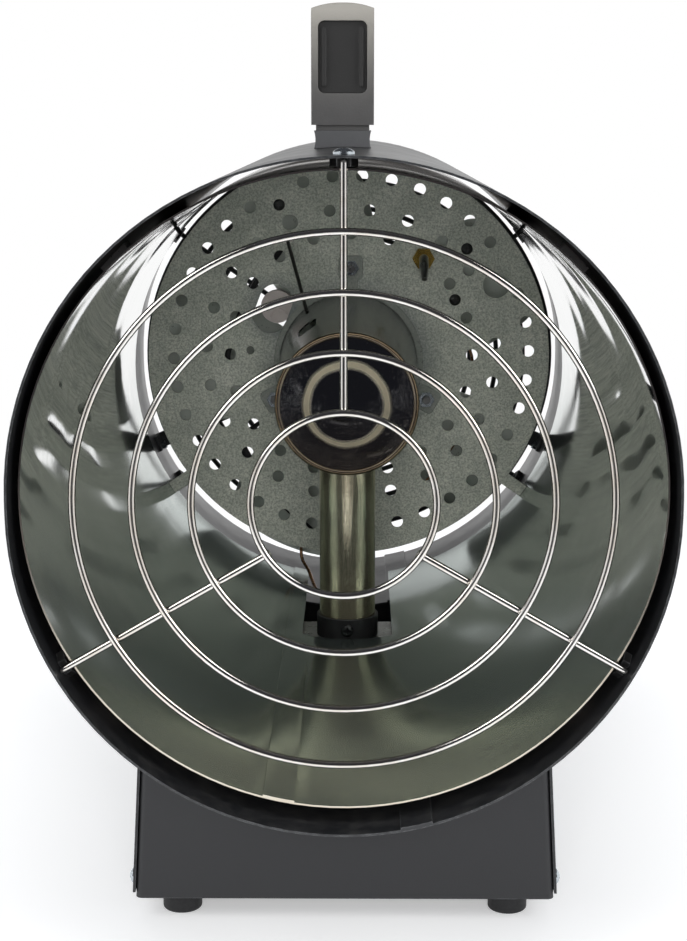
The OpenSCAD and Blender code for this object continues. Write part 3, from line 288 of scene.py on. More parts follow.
@dataclass
class EffectShelf:
    """The effects that more than one finish uses, each built once as a node group.

    Args:
        groups: The node groups by name.
    """

    groups: dict[str, bpy.types.NodeTree] = field(default_factory=dict)

    def build(self) -> None:
        """Builds every effect."""
        surface = (self.edge_wear_and_shade, self.mottle, self.fine_grain, self.scratches)
        for maker in (*surface, self.dust, self.outward):
            tree = maker()
            self.groups[tree.name] = tree

    def edge_wear_and_shade(self) -> bpy.types.NodeTree:
        """Builds a mask that is bright on sharp edges, broken up by noise.

        Returns:
            The group's tree.
        """
        graph, inside, outside = make_group(
            "edge_wear_and_shade",
            [
                ("Radius", Flow.IN, Kind.NUMBER, 0.0006),
                ("Amount", Flow.IN, Kind.NUMBER, 0.5),
                MASK,
            ],
        )
        bevel = graph.add("ShaderNodeBevel", {"Radius": inside.outputs["Radius"]}, samples=4)
        normal = graph.add("ShaderNodeNewGeometry").outputs["Normal"]
        dot = graph.vector("DOT_PRODUCT", bevel.outputs[0], normal)
        flat, sharp, least = 0.995, 0.9, 0.15
        edge = graph.span(dot.outputs["Value"], flat, sharp, 0.0, 1.0)
        speck = graph.span(graph.noise(graph.place(), 420.0, 4.0, 0.6), 0.42, 0.58, least, 1.0)
        worn = graph.math("MULTIPLY", edge, speck)
        result = graph.math("MULTIPLY", worn, inside.outputs["Amount"], clamp=True)
        graph.feed(outside.inputs["Mask"], result)
        return graph.tree

    def mottle(self) -> bpy.types.NodeTree:
        """Builds soft blotches with a finer layer in them.

        Returns:
            The group's tree.
        """
        graph, inside, outside = make_group(
            "mottle",
            [
                ("Scale", Flow.IN, Kind.NUMBER, 40.0),
                ("Low", Flow.IN, Kind.NUMBER, 0.35),
                ("High", Flow.IN, Kind.NUMBER, 0.65),
                MASK,
            ],
        )
        where = graph.place()
        finer, share = 9.0, 0.3
        large = graph.noise(where, inside.outputs["Scale"], 3.0, 0.55)
        small = graph.noise(where, graph.math("MULTIPLY", inside.outputs["Scale"], finer), 2.0, 0.5)
        mix = graph.math("MULTIPLY_ADD", small, share, graph.math("MULTIPLY", large, 1.0 - share))
        node = graph.add(
            "ShaderNodeMapRange",
            {0: mix, 1: inside.outputs["Low"], 2: inside.outputs["High"], 3: 0.0, 4: 1.0},
        )
        graph.feed(outside.inputs["Mask"], node.outputs[0])
        return graph.tree

    def fine_grain(self) -> bpy.types.NodeTree:
        """Builds the bump of a moulded or powder-coated skin over rounded edges.

        Returns:
            The group's tree.
        """
        graph, inside, outside = make_group(
            "fine_grain",
            [
                ("Scale", Flow.IN, Kind.NUMBER, 900.0),
                ("Strength", Flow.IN, Kind.NUMBER, 0.2),
                ("Distance", Flow.IN, Kind.NUMBER, 0.0002),
                ("Edge", Flow.IN, Kind.NUMBER, 0.0004),
                ("Normal", Flow.OUT, Kind.VECTOR, 0.0),
                ("Height", Flow.OUT, Kind.NUMBER, 0.0),
            ],
        )
        height = graph.noise(graph.place(), inside.outputs["Scale"], 2.0, 0.6)
        bevel = graph.add("ShaderNodeBevel", {"Radius": inside.outputs["Edge"]}, samples=4)
        strength, depth = inside.outputs["Strength"], inside.outputs["Distance"]
        normal = graph.bump(height, strength, depth, Normal=bevel.outputs[0])
        graph.feed(outside.inputs["Normal"], normal)
        graph.feed(outside.inputs["Height"], height)
        return graph.tree

    def scratches(self) -> bpy.types.NodeTree:
        """Builds thin rolling lines of sheet metal, along a chosen stretch.

        Returns:
            The group's tree.
        """
        graph, inside, outside = make_group(
            "scratches",
            [
                ("Vector", Flow.IN, Kind.VECTOR, 0.0),
                ("Scale", Flow.IN, Kind.NUMBER, 60.0),
                MASK,
            ],
        )
        lines = graph.noise(inside.outputs["Vector"], inside.outputs["Scale"], 5.0, 0.7)
        graph.feed(outside.inputs["Mask"], graph.span(lines, 0.35, 0.65, 0.0, 1.0))
        return graph.tree

    def dust(self) -> bpy.types.NodeTree:
        """Builds a faint layer that lies on faces that look up.

        Returns:
            The group's tree.
        """
        plan = [("Amount", Flow.IN, Kind.NUMBER, 0.2), MASK]
        graph, inside, outside = make_group("dust", plan)
        normal = graph.add("ShaderNodeNewGeometry").outputs["Normal"]
        up = graph.split(normal)[2]
        speck = graph.span(graph.noise(graph.place(), 160.0, 5.0, 0.65), 0.4, 0.7, 0.0, 1.0)
        lying = graph.math("MULTIPLY", graph.span(up, 0.2, 1.0, 0.0, 1.0), speck)
        graph.feed(outside.inputs["Mask"], graph.math("MULTIPLY", lying, inside.outputs["Amount"]))
        return graph.tree

    def outward(self) -> bpy.types.NodeTree:
        """Builds a mask that is 1 on faces that look away from the tube's axis.

        Returns:
            The group's tree.
        """
        plan = [("Height", Flow.IN, Kind.NUMBER, TUBE_AXIS), MASK]
        graph, inside, outside = make_group("outward", plan)
        across, _, up = graph.split(graph.place())
        rise = graph.math("SUBTRACT", up, inside.outputs["Height"])
        away = graph.add("ShaderNodeCombineXYZ", {0: across, 1: 0.0, 2: rise}).outputs[0]
        normal = graph.add("ShaderNodeNewGeometry").outputs["Normal"]
        dot = graph.vector("DOT_PRODUCT", away, normal).outputs["Value"]
        graph.feed(outside.inputs["Mask"], graph.span(dot, -0.02, 0.02, 0.0, 1.0))
        return graph.tree


EFFECTS = EffectShelf()


def effect(graph: Graph, name: str, **inputs: object) -> Node:
    """Places one of the shared effects in a graph.

    Args:
        graph: The graph of the material.
        name: Name of the effect.
        **inputs: Values or sockets for the effect's inputs.

    Returns:
        The group node.
    """
    node = graph.add("ShaderNodeGroup")
    node.node_tree = EFFECTS.groups[name]
    for label, value in inputs.items():
        graph.feed(node.inputs[label], value)
    return node


@dataclass(frozen=True)
class Finish:
    """A finish of the object.

    Args:
        name: Name of the material.
        colour: Plain colour.
        metallic: Share of metal.
        roughness: Plain roughness.
    """

    name: str
    colour: Colour = (0.5, 0.5, 0.5)
    metallic: float = 0.0
    roughness: float = 0.5

    def material(self) -> bpy.types.Material:
        """Gives the finish's material, building it at first use.

        Returns:
            The material.
        """
        label = f"{self.name}_finish"
        known = bpy.data.materials.get(label)
        if known:
            return known
        material = bpy.data.materials.new(label)
        material.use_nodes = True
        material.node_tree.nodes.clear()
        graph = Graph(material.node_tree)
        shader = graph.add("ShaderNodeBsdfPrincipled")
        shader.inputs["Base Color"].default_value = (*self.colour, 1.0)
        shader.inputs["Metallic"].default_value = self.metallic
        shader.inputs["Roughness"].default_value = self.roughness
        out = graph.add("ShaderNodeOutputMaterial")
        graph.feed(out.inputs[0], shader.outputs[0])
        self.detail(graph, shader)
        return material

    def detail(self, graph: Graph, shader: Node) -> None:
        """Adds what sets the finish apart from a flat colour.

        Args:
            graph: The material's graph.
            shader: The material's shader.
        """
        raise NotImplementedError


@dataclass(frozen=True)
class Coated(Finish):
    """Paint or powder on sheet metal.

    Args:
        grain: Waves per metre of the skin's grain.
        depth: Strength of the grain.
        bare: Colour of the metal that shows on worn edges.
        wear: Amount of wear on the edges.
        coat: Strength of the clear layer.
        deepen: Share of the colour that is left in the dark blotches.
        bright: Share of metal on the most worn edges.
    """

    grain: float = 700.0
    depth: float = 0.12
    bare: Colour = (0.35, 0.36, 0.37)
    wear: float = 0.35
    coat: float = 0.0
    deepen: float = 0.82
    bright: float = 0.8

    def detail(self, graph: Graph, shader: Node) -> None:
        """Adds grain, blotches, dust and worn edges.

        Args:
            graph: The material's graph.
            shader: The material's shader.
        """
        skin = effect(graph, "fine_grain", Scale=self.grain, Strength=self.depth)
        cloud = effect(graph, "mottle", Scale=14.0).outputs[0]
        worn = effect(graph, "edge_wear_and_shade", Amount=self.wear).outputs[0]
        dusty = effect(graph, "dust", Amount=0.1).outputs[0]
        deep = tuple(self.deepen * part for part in self.colour)
        paint = graph.blend(cloud, deep, self.colour)
        paint = graph.blend(dusty, paint, DUST)
        graph.feed(shader.inputs["Base Color"], graph.blend(worn, paint, self.bare))
        rough = graph.span(cloud, 0.0, 1.0, self.roughness - 0.05, self.roughness + 0.06)
        graph.feed(shader.inputs["Roughness"], rough)
        graph.feed(shader.inputs["Metallic"], graph.math("MULTIPLY", worn, self.bright))
        graph.feed(shader.inputs["Normal"], skin.outputs["Normal"])
        shader.inputs["Coat Weight"].default_value = self.coat
        shader.inputs["Coat Roughness"].default_value = 0.25


@dataclass(frozen=True)
class Metal(Finish):
    """Bare metal with stains and rolling lines.

    Args:
        stain: Colour of the stains.
        stained: How much of the surface the stains cover.
        lines: Stretch of the rolling lines per axis.
        line_depth: How far the lines change the roughness.
        least: Roughness that the lines do not go below.
        edge: Radius to which sharp edges are rounded.
        wave: Strength of the sheet's slow waves.
        dulled: Roughness that the stains add.
    """

    stain: Colour = (0.25, 0.22, 0.18)
    stained: float = 0.25
    lines: tuple[float, float, float] = (1.0, 1.0, 1.0)
    line_depth: float = 0.08
    least: float = 0.03
    edge: float = 0.0003
    wave: float = 0.05
    dulled: float = 0.15

    def detail(self, graph: Graph, shader: Node) -> None:
        """Adds stains, lines and slight waves.

        Args:
            graph: The material's graph.
            shader: The material's shader.
        """
        cloud = effect(graph, "mottle", Scale=22.0, Low=0.45, High=0.72).outputs[0]
        mask = graph.math("MULTIPLY", cloud, self.stained)
        graph.feed(shader.inputs["Base Color"], graph.blend(mask, self.colour, self.stain))
        drawn = effect(graph, "scratches", Vector=graph.place(self.lines), Scale=240.0).outputs[0]
        low = max(self.least, self.roughness - self.line_depth)
        rough = graph.span(drawn, 0.0, 1.0, low, self.roughness + self.line_depth)
        graph.feed(shader.inputs["Roughness"], graph.math("MULTIPLY_ADD", mask, self.dulled, rough))
        slow = graph.noise(graph.place(), 26.0, 1.0)
        bevel = graph.add("ShaderNodeBevel", {"Radius": self.edge}, samples=4)
        normal = graph.bump(slow, self.wave, 0.002, Normal=bevel.outputs[0])
        graph.feed(shader.inputs["Normal"], normal)


@dataclass(frozen=True)
class PolishedBarrel(Finish):
    """Polished sheet of the barrel: a mirror above, hazy below, with a brown stained outside
    painted pale as light.

    Args:
        film: Colour of the dull film in the lower half.
        line: Colour of the rolling lines.
        stain: Colour of the outside: brown heat stain, painted pale as light in the gap.
        deep_stain: Colour of the outside's darker blotches.
        edge: Heights at which the film is full and at which it ends.
        drawn: Share of the rolling lines' colour.
        masked: Share of metal that the film hides.
        hazed: Roughness that the film adds.
        smeared: Roughness of the smears in it.
        lined: Roughness of the rolling lines.
        tarnished: Roughness of the outside.
    """

    film: Colour = (0.41, 0.475, 0.45)
    line: Colour = (0.55, 0.6, 0.56)
    stain: Colour = (0.92, 0.78, 0.62)
    deep_stain: Colour = (0.8, 0.6, 0.42)
    edge: tuple[float, float] = (0.105, 0.19)
    drawn: float = 0.2
    masked: float = 0.14
    hazed: float = 0.1
    smeared: float = 0.05
    lined: float = 0.025
    tarnished: float = 0.04

    def detail(self, graph: Graph, shader: Node) -> None:
        """Adds smears, rolling lines, slow waves of the rolled sheet and the stained outside,
        painted pale.

        Args:
            graph: The material's graph.
            shader: The material's shader.
        """
        where = graph.place()
        up = graph.split(where)[2]
        outer = effect(graph, "outward").outputs[0]
        smear = effect(graph, "mottle", Scale=16.0, Low=0.4, High=0.7).outputs[0]
        along = graph.place((0.35, 6.0, 0.35))
        lines = effect(graph, "scratches", Vector=along, Scale=60.0).outputs[0]
        ragged = graph.math("MULTIPLY_ADD", smear, 0.03, up)
        low = graph.span(ragged, *self.edge, 1.0, 0.0)
        tone = graph.blend(low, self.colour, self.film)
        tone = graph.blend(graph.math("MULTIPLY", lines, self.drawn), tone, self.line)
        # The outside: brown heat stain, painted pale to stand in for the light in the gap between
        # barrel and shell.
        cloud = effect(graph, "mottle", Scale=30.0).outputs[0]
        browned = graph.blend(cloud, self.stain, self.deep_stain)
        graph.feed(shader.inputs["Base Color"], graph.blend(outer, tone, browned))
        bare = graph.math("SUBTRACT", 1.0, graph.math("MULTIPLY", low, self.masked))
        graph.feed(shader.inputs["Metallic"], graph.math("MAXIMUM", outer, bare))
        haze = graph.math("MULTIPLY_ADD", low, self.hazed, self.roughness)
        haze = graph.math("MULTIPLY_ADD", lines, self.lined, haze)
        haze = graph.math("MULTIPLY_ADD", graph.math("MULTIPLY", smear, low), self.smeared, haze)
        rough = graph.math("MULTIPLY_ADD", outer, self.tarnished, haze)
        graph.feed(shader.inputs["Roughness"], rough)
        slow = graph.noise(where, 9.0, 1.0)
        graph.feed(shader.inputs["Normal"], graph.bump(slow, 0.35, 0.004))


@dataclass(frozen=True)
class CupSteel(Finish):
    """Mirror-like steel of the burner cup, with a straw ring on its step and a browned rim.

    Args:
        axis: Height of the cup's axis.
        step: Radii between which the straw ring lies.
        rim: Radius at which the browned rim starts.
        straw: Colour of the ring.
        shade: Colour of the face's lower part.
        brown: Colour of the rim.
        cloudy: Colour of the faint clouds.
        shaded: Share of the shade at the face's lower edge.
        clouded: Share of the clouds' colour.
        matt: Roughness that the straw ring adds.
        hazed: Roughness that the clouds add.
        covered: Share of metal in the straw ring.
    """

    axis: float = CUP_AXIS
    step: tuple[float, float] = (0.0156, 0.0183)
    rim: float = 0.0285
    straw: Colour = (0.95, 0.84, 0.62)
    shade: Colour = (0.28, 0.235, 0.19)
    brown: Colour = (0.3, 0.22, 0.14)
    cloudy: Colour = (0.1, 0.095, 0.09)
    shaded: float = 0.8
    clouded: float = 0.25
    matt: float = 0.26
    hazed: float = 0.05
    covered: float = 0.6

    def detail(self, graph: Graph, shader: Node) -> None:
        """Adds the tints by height and distance from the axis, fine specks and a soft haze.

        Args:
            graph: The material's graph.
            shader: The material's shader.
        """
        where = graph.place()
        ragged, soft, sharp = 0.0012, 0.001, 0.0004
        wobble = graph.noise(where, 90.0, 2.0)
        wobble = graph.math("MULTIPLY_ADD", wobble, ragged, -ragged / 2.0)
        far = graph.math("ADD", graph.reach(self.axis), wobble)
        inner, outer = self.step
        rise = graph.span(far, inner - soft, inner + sharp, 0.0, 1.0)
        fall = graph.span(far, outer - sharp, outer + soft, 1.0, 0.0)
        edge = graph.span(far, self.rim - soft, self.rim + soft, 0.0, 1.0)
        ring = graph.math("MULTIPLY", rise, fall)
        up = graph.split(where)[2]
        low = graph.span(up, self.axis - self.rim, self.axis, self.shaded, 0.0)
        tone = graph.blend(low, self.colour, self.shade)
        tone = graph.blend(ring, tone, self.straw)
        tone = graph.blend(edge, tone, self.brown)
        cloud = effect(graph, "mottle", Scale=70.0, Low=0.45, High=0.75).outputs[0]
        tone = graph.blend(graph.math("MULTIPLY", cloud, self.clouded), tone, self.cloudy)
        graph.feed(shader.inputs["Base Color"], tone)
        speck = graph.span(graph.noise(where, 900.0, 4.0, 0.7), 0.62, 0.72, 0.0, 0.25)
        haze = graph.math("MULTIPLY_ADD", cloud, self.hazed, self.roughness)
        haze = graph.math("MULTIPLY_ADD", ring, self.matt, haze)
        graph.feed(shader.inputs["Roughness"], graph.math("ADD", haze, speck))
        graph.feed(shader.inputs["Metallic"], graph.span(ring, 0.0, 1.0, 1.0, self.covered))
        graph.feed(shader.inputs["Normal"], graph.bump(cloud, 0.05, 0.001))


@dataclass(frozen=True)
class Galvanised(Finish):
    """Zinc-coated sheet with faint crystal patches, fine specks and heat marks round its openings.

    Args:
        dark: Colour of the dark patches.
        pale: Colour of the pale patches.
        heated: Colour of the heat marks.
        spot: Colour of the fine black spots.
        marks: Side, height, inner and outer radius of each heat mark.
        rim: Strength of the painted shade that darkens the edges.
        warped: How far the crystal patches are bent, in metres.
        patched: Share of the dark colour in the patches.
        flecked: Share of the dark colour in the flecks.
        burnt: Share of the heat marks' colour.
        spotted: Share of the spots' colour.
    """

    dark: Colour = (0.17, 0.195, 0.17)
    pale: Colour = (0.62, 0.63, 0.54)
    heated: Colour = (0.12, 0.14, 0.15)
    spot: Colour = (0.03, 0.03, 0.026)
    marks: tuple[tuple[float, float, float, float], ...] = (
        (0.001, CUP_AXIS, 0.034, 0.047),
        (-0.037, 0.198, 0.009, 0.018),
    )
    rim: float = 0.35
    warped: float = 0.012
    patched: float = 0.2
    flecked: float = 0.7
    burnt: float = 0.55
    spotted: float = 0.5

    def detail(self, graph: Graph, shader: Node) -> None:
        """Adds the crystal patches, their changing gloss and painted shade on the edges.

        Args:
            graph: The material's graph.
            shader: The material's shader.
        """
        where = graph.place()
        warp = graph.add("ShaderNodeTexNoise", {"Vector": where, "Scale": 90.0, "Detail": 2.0})
        shift = graph.vector("SCALE", warp.outputs[1])
        graph.feed(shift.inputs["Scale"], self.warped)
        moved = graph.vector("ADD", where, shift.outputs[0]).outputs[0]
        cells = graph.add("ShaderNodeTexVoronoi", {"Vector": moved, "Scale": 150.0})
        patch = graph.add("ShaderNodeSeparateColor", {0: cells.outputs["Color"]}).outputs[0]
        cloud = effect(graph, "mottle", Scale=45.0, Low=0.3, High=0.7).outputs[0]
        tone = graph.blend(cloud, self.colour, self.pale)
        tone = graph.blend(graph.math("MULTIPLY", patch, self.patched), tone, self.dark)
        grain = graph.noise(where, 1050.0, 3.0, 0.75)
        fleck = graph.span(grain, 0.38, 0.6, 0.0, self.flecked)
        tone = graph.blend(fleck, tone, self.dark)
        for side, height, inner, outer in self.marks:
            near = graph.span(graph.reach(height, side), inner, outer, self.burnt, 0.0)
            tone = graph.blend(near, tone, self.heated)
        grain = graph.noise(where, 620.0, 3.0, 0.7)
        spots = graph.span(grain, 0.62, 0.72, 0.0, self.spotted)
        tone = graph.blend(spots, tone, self.spot)
        # Painted shade: the edges are darkened towards near black.
        edge = effect(graph, "edge_wear_and_shade", Radius=0.0007, Amount=self.rim).outputs[0]
        graph.feed(shader.inputs["Base Color"], graph.blend(edge, tone, EDGE_SHADE))
        rough = graph.span(patch, 0.0, 1.0, self.roughness - 0.08, self.roughness + 0.12)
        graph.feed(shader.inputs["Roughness"], rough)
        graph.feed(shader.inputs["Normal"], graph.bump(cloud, 0.12, 0.0004))


class Along(Enum):
    """Axis along which a heat tint changes."""

    DEPTH = "Y"
    HEIGHT = "Z"


@dataclass(frozen=True)
class HeatTinted(Finish):
    """Steel with the colours that heat leaves on it.

    Args:
        axis: Axis along which the tint changes.
        start: Place where the tint starts.
        end: Place where the tint ends.
        stops: Colours of the tint.
        lines: Stretch of the rolling lines per axis.
        ragged: How far the tint's edge wanders, in metres.
        sooted: Share of soot in the dark blotches.
    """

    axis: Along = Along.DEPTH
    start: float = 0.0
    end: float = 0.1
    stops: tuple[tuple[float, Colour], ...] = ((0.0, (0.4, 0.35, 0.25)), (1.0, (0.3, 0.3, 0.3)))
    lines: tuple[float, float, float] = (1.0, 1.0, 1.0)
    ragged: float = 0.02
    sooted: float = 0.35

    def detail(self, graph: Graph, shader: Node) -> None:
        """Adds the tint with a ragged edge, rolling lines and slight waves.

        Args:
            graph: The material's graph.
            shader: The material's shader.
        """
        where = graph.place()
        split = graph.add("ShaderNodeSeparateXYZ", {0: where})
        wander = graph.noise(where, 60.0, 3.0)
        wander = graph.math("MULTIPLY_ADD", wander, self.ragged, -self.ragged / 2.0)
        spot = graph.math("ADD", split.outputs[self.axis.value], wander)
        tint = graph.ramp(graph.span(spot, self.start, self.end, 0.0, 1.0), self.stops)
        cloud = effect(graph, "mottle", Scale=60.0, Low=0.4, High=0.7).outputs[0]
        soot = graph.math("MULTIPLY", cloud, self.sooted)
        graph.feed(shader.inputs["Base Color"], graph.blend(soot, tint, SOOT))
        drawn = effect(graph, "scratches", Vector=graph.place(self.lines), Scale=200.0).outputs[0]
        rough = graph.span(drawn, 0.0, 1.0, self.roughness - 0.06, self.roughness + 0.1)
        graph.feed(shader.inputs["Roughness"], rough)
        graph.feed(shader.inputs["Normal"], graph.bump(drawn, 0.08, 0.001))


@dataclass(frozen=True)
class Moulded(Finish):
    """Moulded plastic, rubber or ceramic with a fine skin.

    Args:
        grain: Waves per metre of the skin.
        depth: Strength of the skin.
        pale: Amount of paling on edges.
        deepen: Share of the colour that is left in the dark blotches.
        settled: Colour of the dust on it.
        painted_sheen: Colour of a painted sheen that lightens the upper part, standing in for the
            light on its top.
        sheen_heights: Heights between which the painted sheen grows.
        sheen_curve: Power by which the painted sheen grows.
    """

    grain: float = 1400.0
    depth: float = 0.25
    pale: float = 0.2
    deepen: float = 0.85
    settled: Colour = (0.35, 0.34, 0.32)
    painted_sheen: Colour = (0.0, 0.0, 0.0)
    sheen_heights: tuple[float, float] = (0.0, 0.0)
    sheen_curve: float = 1.6

    def detail(self, graph: Graph, shader: Node) -> None:
        """Adds the skin, faint blotches, dust, paler edges and, where set, a painted sheen on the
        upper part.

        Args:
            graph: The material's graph.
            shader: The material's shader.
        """
        skin = effect(graph, "fine_grain", Scale=self.grain, Strength=self.depth, Edge=0.0006)
        cloud = effect(graph, "mottle", Scale=30.0).outputs[0]
        worn = effect(graph, "edge_wear_and_shade", Amount=self.pale, Radius=0.0008).outputs[0]
        dusty = effect(graph, "dust", Amount=0.08).outputs[0]
        deep = tuple(self.deepen * part for part in self.colour)
        tone = graph.blend(cloud, deep, self.colour)
        # Painted sheen: the upper part is lightened by height, standing in for the light on its
        # top.
        if self.sheen_heights[1] > 0.0:
            up = graph.split(graph.place())[2]
            sheen_share = graph.span(up, *self.sheen_heights, 0.0, 1.0)
            tone = graph.blend(graph.math("POWER", sheen_share, self.sheen_curve), tone, self.painted_sheen)
        gain, lift = 1.8, 0.02
        light = tuple(min(1.0, gain * part + lift) for part in self.colour)
        tone = graph.blend(worn, tone, light)
        graph.feed(shader.inputs["Base Color"], graph.blend(dusty, tone, self.settled))
        height = skin.outputs["Height"]
        rough = graph.span(height, 0.3, 0.7, self.roughness - 0.06, self.roughness + 0.06)
        graph.feed(shader.inputs["Roughness"], rough)
        graph.feed(shader.inputs["Normal"], skin.outputs["Normal"])


# Colours of the riser from its collar up, near black at the foot and heat colours above;
# and heat colours of the burner tube, from its front back.
RISER_TINT = (
    (0.0, (0.02, 0.018, 0.015)),
    (0.1, (0.7, 0.62, 0.42)),
    (0.6, (0.9, 0.84, 0.62)),
    (1.0, (0.98, 0.86, 0.6)),
)
BURNER_TINT = (
    (0.0, (0.2, 0.13, 0.08)),
    (0.15, (0.14, 0.14, 0.11)),
    (0.6, (0.16, 0.165, 0.15)),
    (1.0, (0.14, 0.15, 0.14)),
)


class Finishes:
    """Every finish of the heater, with its colour, share of metal and roughness."""

    black_paint = Coated(
        "black_paint", (0.016, 0.017, 0.019), 0.0, 0.36, coat=0.3, grain=500.0, depth=0.05
    )
    charcoal_paint = Coated(
        "charcoal_paint", (0.022, 0.0225, 0.0245), 0.0, 0.5, grain=1500.0, depth=0.25
    )
    black_steel = Coated("black_steel", (0.012, 0.012, 0.012), 0.0, 0.42, wear=0.5)
    black_wire = Coated("black_wire", (0.014, 0.014, 0.015), 0.0, 0.4, wear=0.2)

    polished_steel = PolishedBarrel("polished_steel", (0.84, 0.85, 0.84), 1.0, 0.02)
    straw_steel = CupSteel("straw_steel", (0.2, 0.205, 0.225), 1.0, 0.04)
    galvanised = Galvanised("galvanised", (0.51, 0.53, 0.44), 0.12, 0.46)
    # The flange's edges get the full painted shade.
    flange_steel = Galvanised(
        "flange_steel",
        (0.25, 0.265, 0.235),
        0.2,
        0.42,
        pale=(0.3, 0.31, 0.275),
        marks=(),
        rim=1.0,
    )
    riser_steel = HeatTinted(
        "riser_steel",
        RISER_TINT[1][1],
        0.95,
        0.1,
        Along.HEIGHT,
        0.062,
        0.15,
        RISER_TINT,
        lines=(8.0, 8.0, 0.6),
    )
    burner_steel = HeatTinted(
        "burner_steel",
        BURNER_TINT[1][1],
        1.0,
        0.09,
        Along.DEPTH,
        -0.01,
        0.12,
        BURNER_TINT,
        lines=(1.0, 14.0, 1.0),
    )

    raw_steel = Metal("raw_steel", (0.42, 0.42, 0.42), 1.0, 0.32)
    dark_steel = Metal("dark_steel", (0.11, 0.11, 0.12), 1.0, 0.4, lines=(1.0, 30.0, 1.0))
    chrome_wire = Metal(
        "chrome_wire",
        (0.8, 0.78, 0.75),
        1.0,
        0.08,
        stain=(0.45, 0.34, 0.2),
        stained=0.5,
        line_depth=0.03,
    )
    zinc_screw = Metal("zinc_screw", (0.55, 0.6, 0.64), 1.0, 0.22, stain=(0.35, 0.38, 0.36))
    dark_screw = Metal("dark_screw", (0.09, 0.09, 0.09), 1.0, 0.4)
    brass = Metal("brass", (0.62, 0.42, 0.1), 1.0, 0.2, stain=(0.3, 0.17, 0.05))
    copper = Metal("copper", (0.55, 0.3, 0.17), 1.0, 0.25, stain=(0.2, 0.1, 0.06), stained=0.6)
    fan_aluminium = Metal("fan_aluminium", (0.62, 0.66, 0.6), 0.35, 0.34, stain=(0.4, 0.44, 0.4))
    cast_body = Metal("cast_body", (0.42, 0.4, 0.36), 1.0, 0.42)

    white_ceramic = Moulded("white_ceramic", (0.72, 0.7, 0.64), 0.0, 0.45, depth=0.1)
    pink_ceramic = Moulded("pink_ceramic", (0.5, 0.45, 0.42), 0.0, 0.5, depth=0.1)
    black_lead = Moulded("black_lead", (0.02, 0.02, 0.02), 0.0, 0.45, depth=0.1)
    black_rubber = Moulded("black_rubber", (0.014, 0.014, 0.015), 0.0, 0.62, grain=900.0)
    grey_plastic = Moulded("grey_plastic", (0.085, 0.086, 0.09), 0.0, 0.5, depth=0.35)
    grip_plastic = Moulded(
        "grip_plastic",
        (0.075, 0.073, 0.072),
        0.0,
        0.48,
        depth=0.35,
        # A painted sheen lightens the top of the grip, standing in for the light on it.
        painted_sheen=(0.3, 0.285, 0.255),
        sheen_heights=(0.292, 0.331),
    )
    black_plastic = Moulded("black_plastic", (0.026, 0.0255, 0.025), 0.0, 0.42)
    red_plastic = Moulded("red_plastic", (0.42, 0.025, 0.02), 0.0, 0.3, depth=0.06)


@dataclass
class SubAssembly:
    """Nodes of the heater that belong together.

    Args:
        nodes: The loaded nodes by name.
    """

    nodes: dict[str, bpy.types.Object]

    def dress(self, finish: Finish, *names: str) -> None:
        """Gives carried-over nodes a finish.

        Args:
            finish: The finish they get.
            *names: Names of the nodes.
        """
        for name in names:
            obj = self.nodes[name]
            obj.data.materials.clear()
            obj.data.materials.append(finish.material())
            LOG.info("%s: %s", name, finish.name)

    def build(self) -> None:
        """Gives each node of the sub-assembly its finish."""
        raise NotImplementedError


@dataclass
class Tube(SubAssembly):
    """The outer shell, the barrel inside it and the two wire grilles."""

    def build(self) -> None:
        """Dresses the sheet tubes, the wires and what fixes them."""
        self.dress(Finishes.black_paint, "outer_shell")
        self.dress(Finishes.polished_steel, "inner_barrel")
        self.dress(Finishes.raw_steel, "barrel_spacers")
        self.dress(Finishes.chrome_wire, "front_grille")
        self.dress(Finishes.black_steel, "grille_nuts", "guard_nuts", "riser_collar")
        self.dress(Finishes.zinc_screw, "grille_screws", "guard_screws", "bracket_screws")
        self.dress(Finishes.black_wire, "rear_guard")


@dataclass
class BurnerSet(SubAssembly):
    """The flame plate with the burner, the riser, the electrode and the thermocouple."""

    def build(self) -> None:
        """Dresses the plate, the burner and what sits on them."""
        self.dress(Finishes.galvanised, "flame_plate")
        self.dress(Finishes.flange_steel, "burner_flange")
        self.dress(Finishes.dark_screw, "plate_screws", "collar_screw", "spark_rod")
        self.dress(Finishes.burner_steel, "burner_tube")
        self.dress(Finishes.straw_steel, "burner_cup")
        self.dress(Finishes.riser_steel, "riser_tube")
        self.dress(Finishes.zinc_screw, "burner_nuts")
        self.dress(Finishes.raw_steel, "burner_studs", "riser_plate", "thermocouple_probe")
        self.dress(Finishes.white_ceramic, "spark_insulator")
        self.dress(Finishes.pink_ceramic, "overheat_switch")
        self.dress(Finishes.brass, "thermocouple_nut")
        self.dress(Finishes.copper, "thermocouple_lead")
        self.dress(Finishes.black_lead, "ignition_lead")


@dataclass
class FanDrive(SubAssembly):
    """The fan, its motor, the bracket and the motor's lead."""

    def build(self) -> None:
        """Dresses the fan, the motor and what holds and feeds it."""
        self.dress(Finishes.fan_aluminium, "fan_impeller", "motor_caps")
        self.dress(Finishes.zinc_screw, "fan_nut")
        self.dress(Finishes.raw_steel, "motor_shaft")
        self.dress(Finishes.dark_steel, "motor_stator")
        self.dress(Finishes.charcoal_paint, "motor_bracket")
        self.dress(Finishes.black_lead, "motor_lead")
        self.dress(Finishes.black_rubber, "lead_grommet")


@dataclass
class Base(SubAssembly):
    """The folded base with its covers, saddles, screws and feet."""

    def build(self) -> None:
        """Dresses the painted sheets, the screws and the feet."""
        sheets = ("base_tray", "side_cover_left", "side_cover_right", "saddles")
        self.dress(Finishes.charcoal_paint, *sheets)
        self.dress(Finishes.zinc_screw, "cover_screws", "foot_screws", "saddle_screws")
        self.dress(Finishes.black_rubber, "feet")


